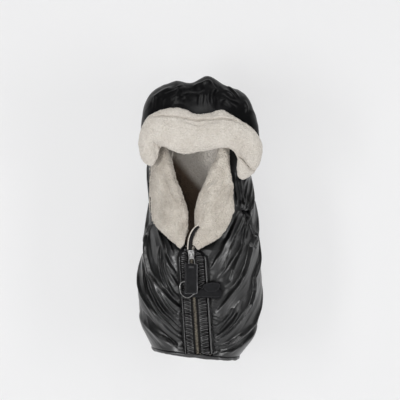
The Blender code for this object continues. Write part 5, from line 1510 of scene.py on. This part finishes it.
# The roll from its left end to its right: x and height of its top and of its foot, then its
# depth and thickness, all as shares.
cuff_pattern = evenly((
    (-0.780, -0.24, -0.713, -0.180, 0.86, 0.25), (-0.91, -0.175, -0.675, -0.105, 0.88, 0.75),
    (-0.978, 0.010, -0.625, 0.008, 0.91, 0.95), (-0.962, 0.210, -0.586, 0.020, 0.94, 1.0),
    (-0.862, 0.410, -0.539, 0.005, 0.96, 1.0), (-0.684, 0.512, -0.475, -0.032, 0.97, 1.0),
    (-0.475, 0.563, -0.349, -0.073, 0.97, 1.0), (-0.27, 0.548, -0.206, -0.094, 0.97, 1.0),
    (-0.048, 0.478, -0.032, -0.060, 0.97, 1.0), (0.158, 0.500, 0.143, -0.040, 0.97, 1.0),
    (0.349, 0.536, 0.317, -0.013, 0.97, 1.0), (0.523, 0.452, 0.444, -0.005, 0.97, 1.0),
    (0.716, 0.360, 0.523, -0.045, 0.96, 1.0), (0.886, 0.243, 0.576, -0.113, 0.94, 1.0),
    (0.983, 0.095, 0.584, -0.205, 0.92, 0.95), (0.993, -0.085, 0.583, -0.305, 0.90, 0.9),
    (0.930, -0.230, 0.605, -0.390, 0.88, 0.8), (0.850, -0.340, 0.68, -0.430, 0.87, 0.3)))
fleece_cream = fleece_cloth("fleece_cream", (0.60, 0.555, 0.50), (0.70, 0.66, 0.605))
# Tucks in the roll as seen from the front: height and half width, then (x, z) along each, all
# in millimetres. The first is the sewn line under the hood's edge.
cuff_folds = (
    (-7.0, 2.2, ((-131, -52), (-110, -54), (-86, -54), (-49, -57), (-14, -64), (16, -64), (46, -61),
                 (76, -63), (100, -73), (125, -90))),
    (-9.0, 3.6, ((-116, -118), (-106, -124), (-92, -138))),
    (-6.0, 6.0, ((-110, -124), (-112, -138), (-104, -158))),
    (3.2, 5.0, ((-104, -112), (-92, -122), (-80, -134))),
    (-12.0, 3.6, ((86, -146), (101, -158), (110, -170), (118, -180), (136, -188))),
    (4.0, 6.0, ((94, -138), (112, -150), (126, -168))),
    (2.4, 3.0, ((-60, -70), (-30, -74), (-8, -80))),
    (2.4, 3.0, ((4, -74), (30, -78), (52, -74))),
    (-3.0, 3.0, ((-40, -68), (-10, -76), (24, -76))),
    (-1.6, 1.8, ((-58, -60), (-30, -68), (0, -71), (30, -69), (60, -68))),
    (-1.6, 1.8, ((-70, -76), (-36, -84), (0, -87), (34, -84))),
    (2.4, 3.0, ((-96, -64), (-84, -76), (-66, -84))),
    (-2.4, 3.0, ((-90, -70), (-70, -80), (-50, -84))),
    (-3.0, 4.0, ((-124, -80), (-118, -96), (-112, -108))),
    (-2.6, 4.0, ((60, -84), (80, -96), (96, -112))))


def knot_pile(point, size, height):
    """Curls of the pile: small rounded knots, a few to the centimetre."""
    return height * (noise.noise(point * size) + 0.5 * noise.noise(point * size * 2.1 + Vector((3, 7, 1))))


def fill_with_wadding(piece, net, pressure, cap):
    """Swell a padded piece as its wadding does: an even net of cloth under pressure, held to a cap."""
    scene = bpy.context.scene
    knit = piece.modifiers.new("even_net", "REMESH")
    knit.mode = "VOXEL"
    knit.voxel_size = net
    knit.use_smooth_shade = True
    settle(piece)
    start = [vertex.co.copy() for vertex in piece.data.vertices]
    cloth = piece.modifiers.new("wadding", "CLOTH")
    cloth.settings.use_pressure = True
    cloth.settings.uniform_pressure_force = pressure
    cloth.settings.effector_weights.gravity = 0
    cloth.settings.quality = 5
    cloth.point_cache.frame_end = WADDING_FRAMES
    for step in range(1, WADDING_FRAMES + 1):
        scene.frame_set(step)
    settle(piece)
    for vertex, place in zip(piece.data.vertices, start):
        move = vertex.co - place
        if move.length > cap:
            vertex.co = place + move * (cap / move.length)
    scene.frame_set(1)
    smooth = piece.modifiers.new("round_off", "SUBSURF")
    smooth.levels = smooth.render_levels = 2
    settle(piece)
    piece.data.shade_smooth()


def tease_fleece(piece, folds, lumps, pile):
    """Press the tucks into a fleece piece and raise its lumps and curls."""
    mesh = piece.data
    normals = [vertex.normal.copy() for vertex in mesh.vertices]
    for vertex, normal in zip(mesh.vertices, normals):
        point = vertex.co
        sway = 2.0 * noise.noise(point * 60)
        lift = fold_lift(folds, point.x * 1000 + sway, point.z * 1000 - sway) / 1000
        soft = lumps * (noise.noise(point * 30) + 0.6 * noise.noise(point * 75))
        facing = ease(-normal.y * 2)
        vertex.co = point + normal * (soft + knot_pile(point, 310, pile)) + Vector((0, -lift * facing, 0))
    mesh.update()


def cuff_section(share):
    """A ring round the roll at a share of its length."""
    top_x, top_up, low_x, low_up, depth_share, thick_share = along(cuff_pattern, share)
    top = Vector((width_x(top_x), 0, hood_z(top_up)))
    low = Vector((width_x(low_x), 0, hood_z(low_up)))
    centre = (top + low) / 2 + Vector((0, -HOOD_DEPTH * depth_share, 0))
    arm = (top - low) / 2
    thick = CUFF_THICKNESS / 2 * thick_share
    ring = []
    for j in range(CUFF_SIDES):
        a = 2 * math.pi * j / CUFF_SIDES
        belly = math.copysign(abs(math.sin(a)) ** CUFF_ROUNDING, math.sin(a))
        ring.append(centre + arm * math.cos(a) * 0.985 + Vector((0, -thick * belly * 0.92, 0)))
    return ring


cuff = sew("cuff_fleece", skin_rings([cuff_section(share) for share in shares(CUFF_STEPS)]), fleece_cream)
fill_with_wadding(cuff, CUFF_NET, CUFF_PRESSURE, CUFF_SWELL)
tease_fleece(cuff, cuff_folds, 0.0020, 0.0011)
dress(cuff, "hood", "fleece_cream", "hood_cuff", fill=0.7)

# Lapels: the two front corners unzipped and folded outwards, so that their cream fleece shows
# down to the slider, with the shell's black cloth behind them.
LAPEL_BACK_WALL = 0.005
LAPEL_FLEECE = 0.012
LAPEL_EDGE = 0.003
LAPEL_LIFT = 0.0004
LAPEL_SPREAD = 1.022
LAPEL_POWER = 2.78
LAPEL_NET = 0.0036
LAPEL_PRESSURE = 3.0
LAPEL_SWELL = 0.0012
ROLL_REACH = 0.0045
ROLL_DEPTH = 0.017
ROLL_WALL = 0.0030
# Each lapel from the rim down: x and level of its inner edge, then of its outer edge.
lapel_patterns = {
    "left": evenly((
        (-0.50, -0.035, -0.76, -0.03), (-0.495, 0.03, -0.79, 0.06), (-0.45, 0.09, -0.805, 0.16),
        (-0.385, 0.16, -0.812, 0.24), (-0.285, 0.235, -0.80, 0.31), (-0.222, 0.315, -0.713, 0.385),
        (-0.206, 0.40, -0.507, 0.444), (-0.238, 0.475, -0.30, 0.50))),
    "right": evenly((
        (0.30, -0.03, 0.465, -0.02), (0.265, 0.04, 0.475, 0.055), (0.19, 0.10, 0.50, 0.12),
        (0.10, 0.165, 0.535, 0.19), (0.0, 0.235, 0.547, 0.265), (-0.055, 0.31, 0.507, 0.345),
        (-0.071, 0.39, 0.349, 0.434), (-0.125, 0.475, -0.03, 0.504)))}


def lapel_seat(x, level, lift):
    """Depth of a lapel lying on the bag's front, at a height above it."""
    side = -1 if x < BAG_CENTRE_X else 1
    share = min(abs(x - BAG_CENTRE_X) / (half_width(level, side) * LAPEL_SPREAD), 1.0)
    return -(front_depth(level) * (1 - share ** LAPEL_POWER) ** (1 / LAPEL_POWER) + lift)


def lapel_layer(kind, node_kind, word, low_lift, high_lift, crown, finish, rows, columns):
    """One layer of a lapel; the fleece rolls over the inner edge into the bag."""
    inward = 1 if word == "left" else -1
    under, upper = [], []
    for a in shares(rows):
        in_x, in_level, out_x, out_level = along(lapel_patterns[word], a)
        low_row, high_row = [], []
        if crown:
            x, z = width_x(in_x), level_z(in_level)
            edge_y = lapel_seat(x, in_level, high_lift)
            reach = ROLL_REACH * min(1.0, 5 * a, 5 * (1 - a))
            for k in range(6, 0, -1):
                turn = math.pi / 2 * k / 6
                deep = ROLL_DEPTH * (1 - math.cos(turn)) * min(1.0, 4 * a + 0.1, 4 * (1 - a) + 0.1)
                roll_x = x + inward * reach * math.sin(turn)
                high_row.append(Vector((roll_x, edge_y + deep, z)))
                low_row.append(Vector((x - inward * 0.0035, edge_y + deep + ROLL_WALL * math.cos(turn), z)))
        for b in shares(columns):
            x = width_x(in_x + (out_x - in_x) * b)
            level = in_level + (out_level - in_level) * b
            z = level_z(level)
            swell = (1 - abs(2 * b - 1) ** 3) ** 0.5 * (1 - abs(2 * a - 1) ** 6) ** 0.5
            wave = 0.0012 * noise.noise(Vector((x * 80, 3, z * 80))) * max(0.0, 2 * b - 1) ** 4
            low_row.append(Vector((x + wave, lapel_seat(x, level, low_lift), z)))
            high_row.append(Vector((x + wave, lapel_seat(x, level, high_lift + crown * swell), z)))
        under.append(low_row)
        upper.append(high_row)
    piece = sew(kind + word, line_cloth(upper, under), finish)
    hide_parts(node_kind + word)
    return piece


# Soft folds that run down the turned-out corners, as seen from the front, in millimetres.
lapel_folds = {
    "left": (
        (-3.6, 4.0, ((-100, -175), (-84, -215), (-62, -262), (-44, -300))),
        (3.2, 4.0, ((-92, -185), (-72, -228), (-52, -268))),
        (-3.4, 3.5, ((-76, -170), (-62, -205), (-46, -245), (-36, -280))),
        (-2.6, 3.0, ((-112, -205), (-104, -250), (-88, -290))),
        (2.4, 3.0, ((-108, -190), (-98, -232), (-80, -272))),
        (-6.0, 5.0, ((-52, -285), (-43, -318), (-36, -345)))),
    "right": (
        (-3.4, 4.0, ((62, -170), (56, -210), (40, -255), (18, -300))),
        (3.2, 4.0, ((48, -180), (34, -215), (14, -255), (0, -300))),
        (-3.2, 3.5, ((74, -200), (72, -245), (54, -285), (30, -320))),
        (-3.2, 3.0, ((30, -200), (12, -232), (-6, -270))),
        (-2.4, 2.4, ((40, -196), (26, -214), (8, -226))),
        (-2.4, 2.4, ((42, -210), (28, -228), (10, -244))),
        (2.4, 2.4, ((40, -203), (27, -221), (9, -236))),
        (-2.8, 3.0, ((20, -260), (4, -300), (-10, -340))))}
# The lapels' fleece is a darker copy of the cuff's cream fleece: its darker tone is painted shade, its mottle
# random.
fleece_lapel_shaded = fleece_cloth("fleece_lapel_shaded", (0.40, 0.355, 0.305), (0.66, 0.615, 0.55))
shell_top = LAPEL_LIFT + LAPEL_BACK_WALL
pile_base = shell_top + GAP
for word in ("left", "right"):
    back = lapel_layer("lapel_shell_", "lapel_back_", word, LAPEL_LIFT, shell_top, 0.0, puffer_black,
                       60, 30)
    pile = lapel_layer("lapel_pile_", "lapel_fleece_", word, pile_base, pile_base + LAPEL_EDGE,
                       LAPEL_FLEECE - LAPEL_EDGE, fleece_lapel_shaded, 84, 44)
    fill_with_wadding(pile, LAPEL_NET, LAPEL_PRESSURE, LAPEL_SWELL)
    tease_fleece(pile, lapel_folds[word], 0.0024, 0.0013)
    for layer in (back, pile):
        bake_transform(layer)
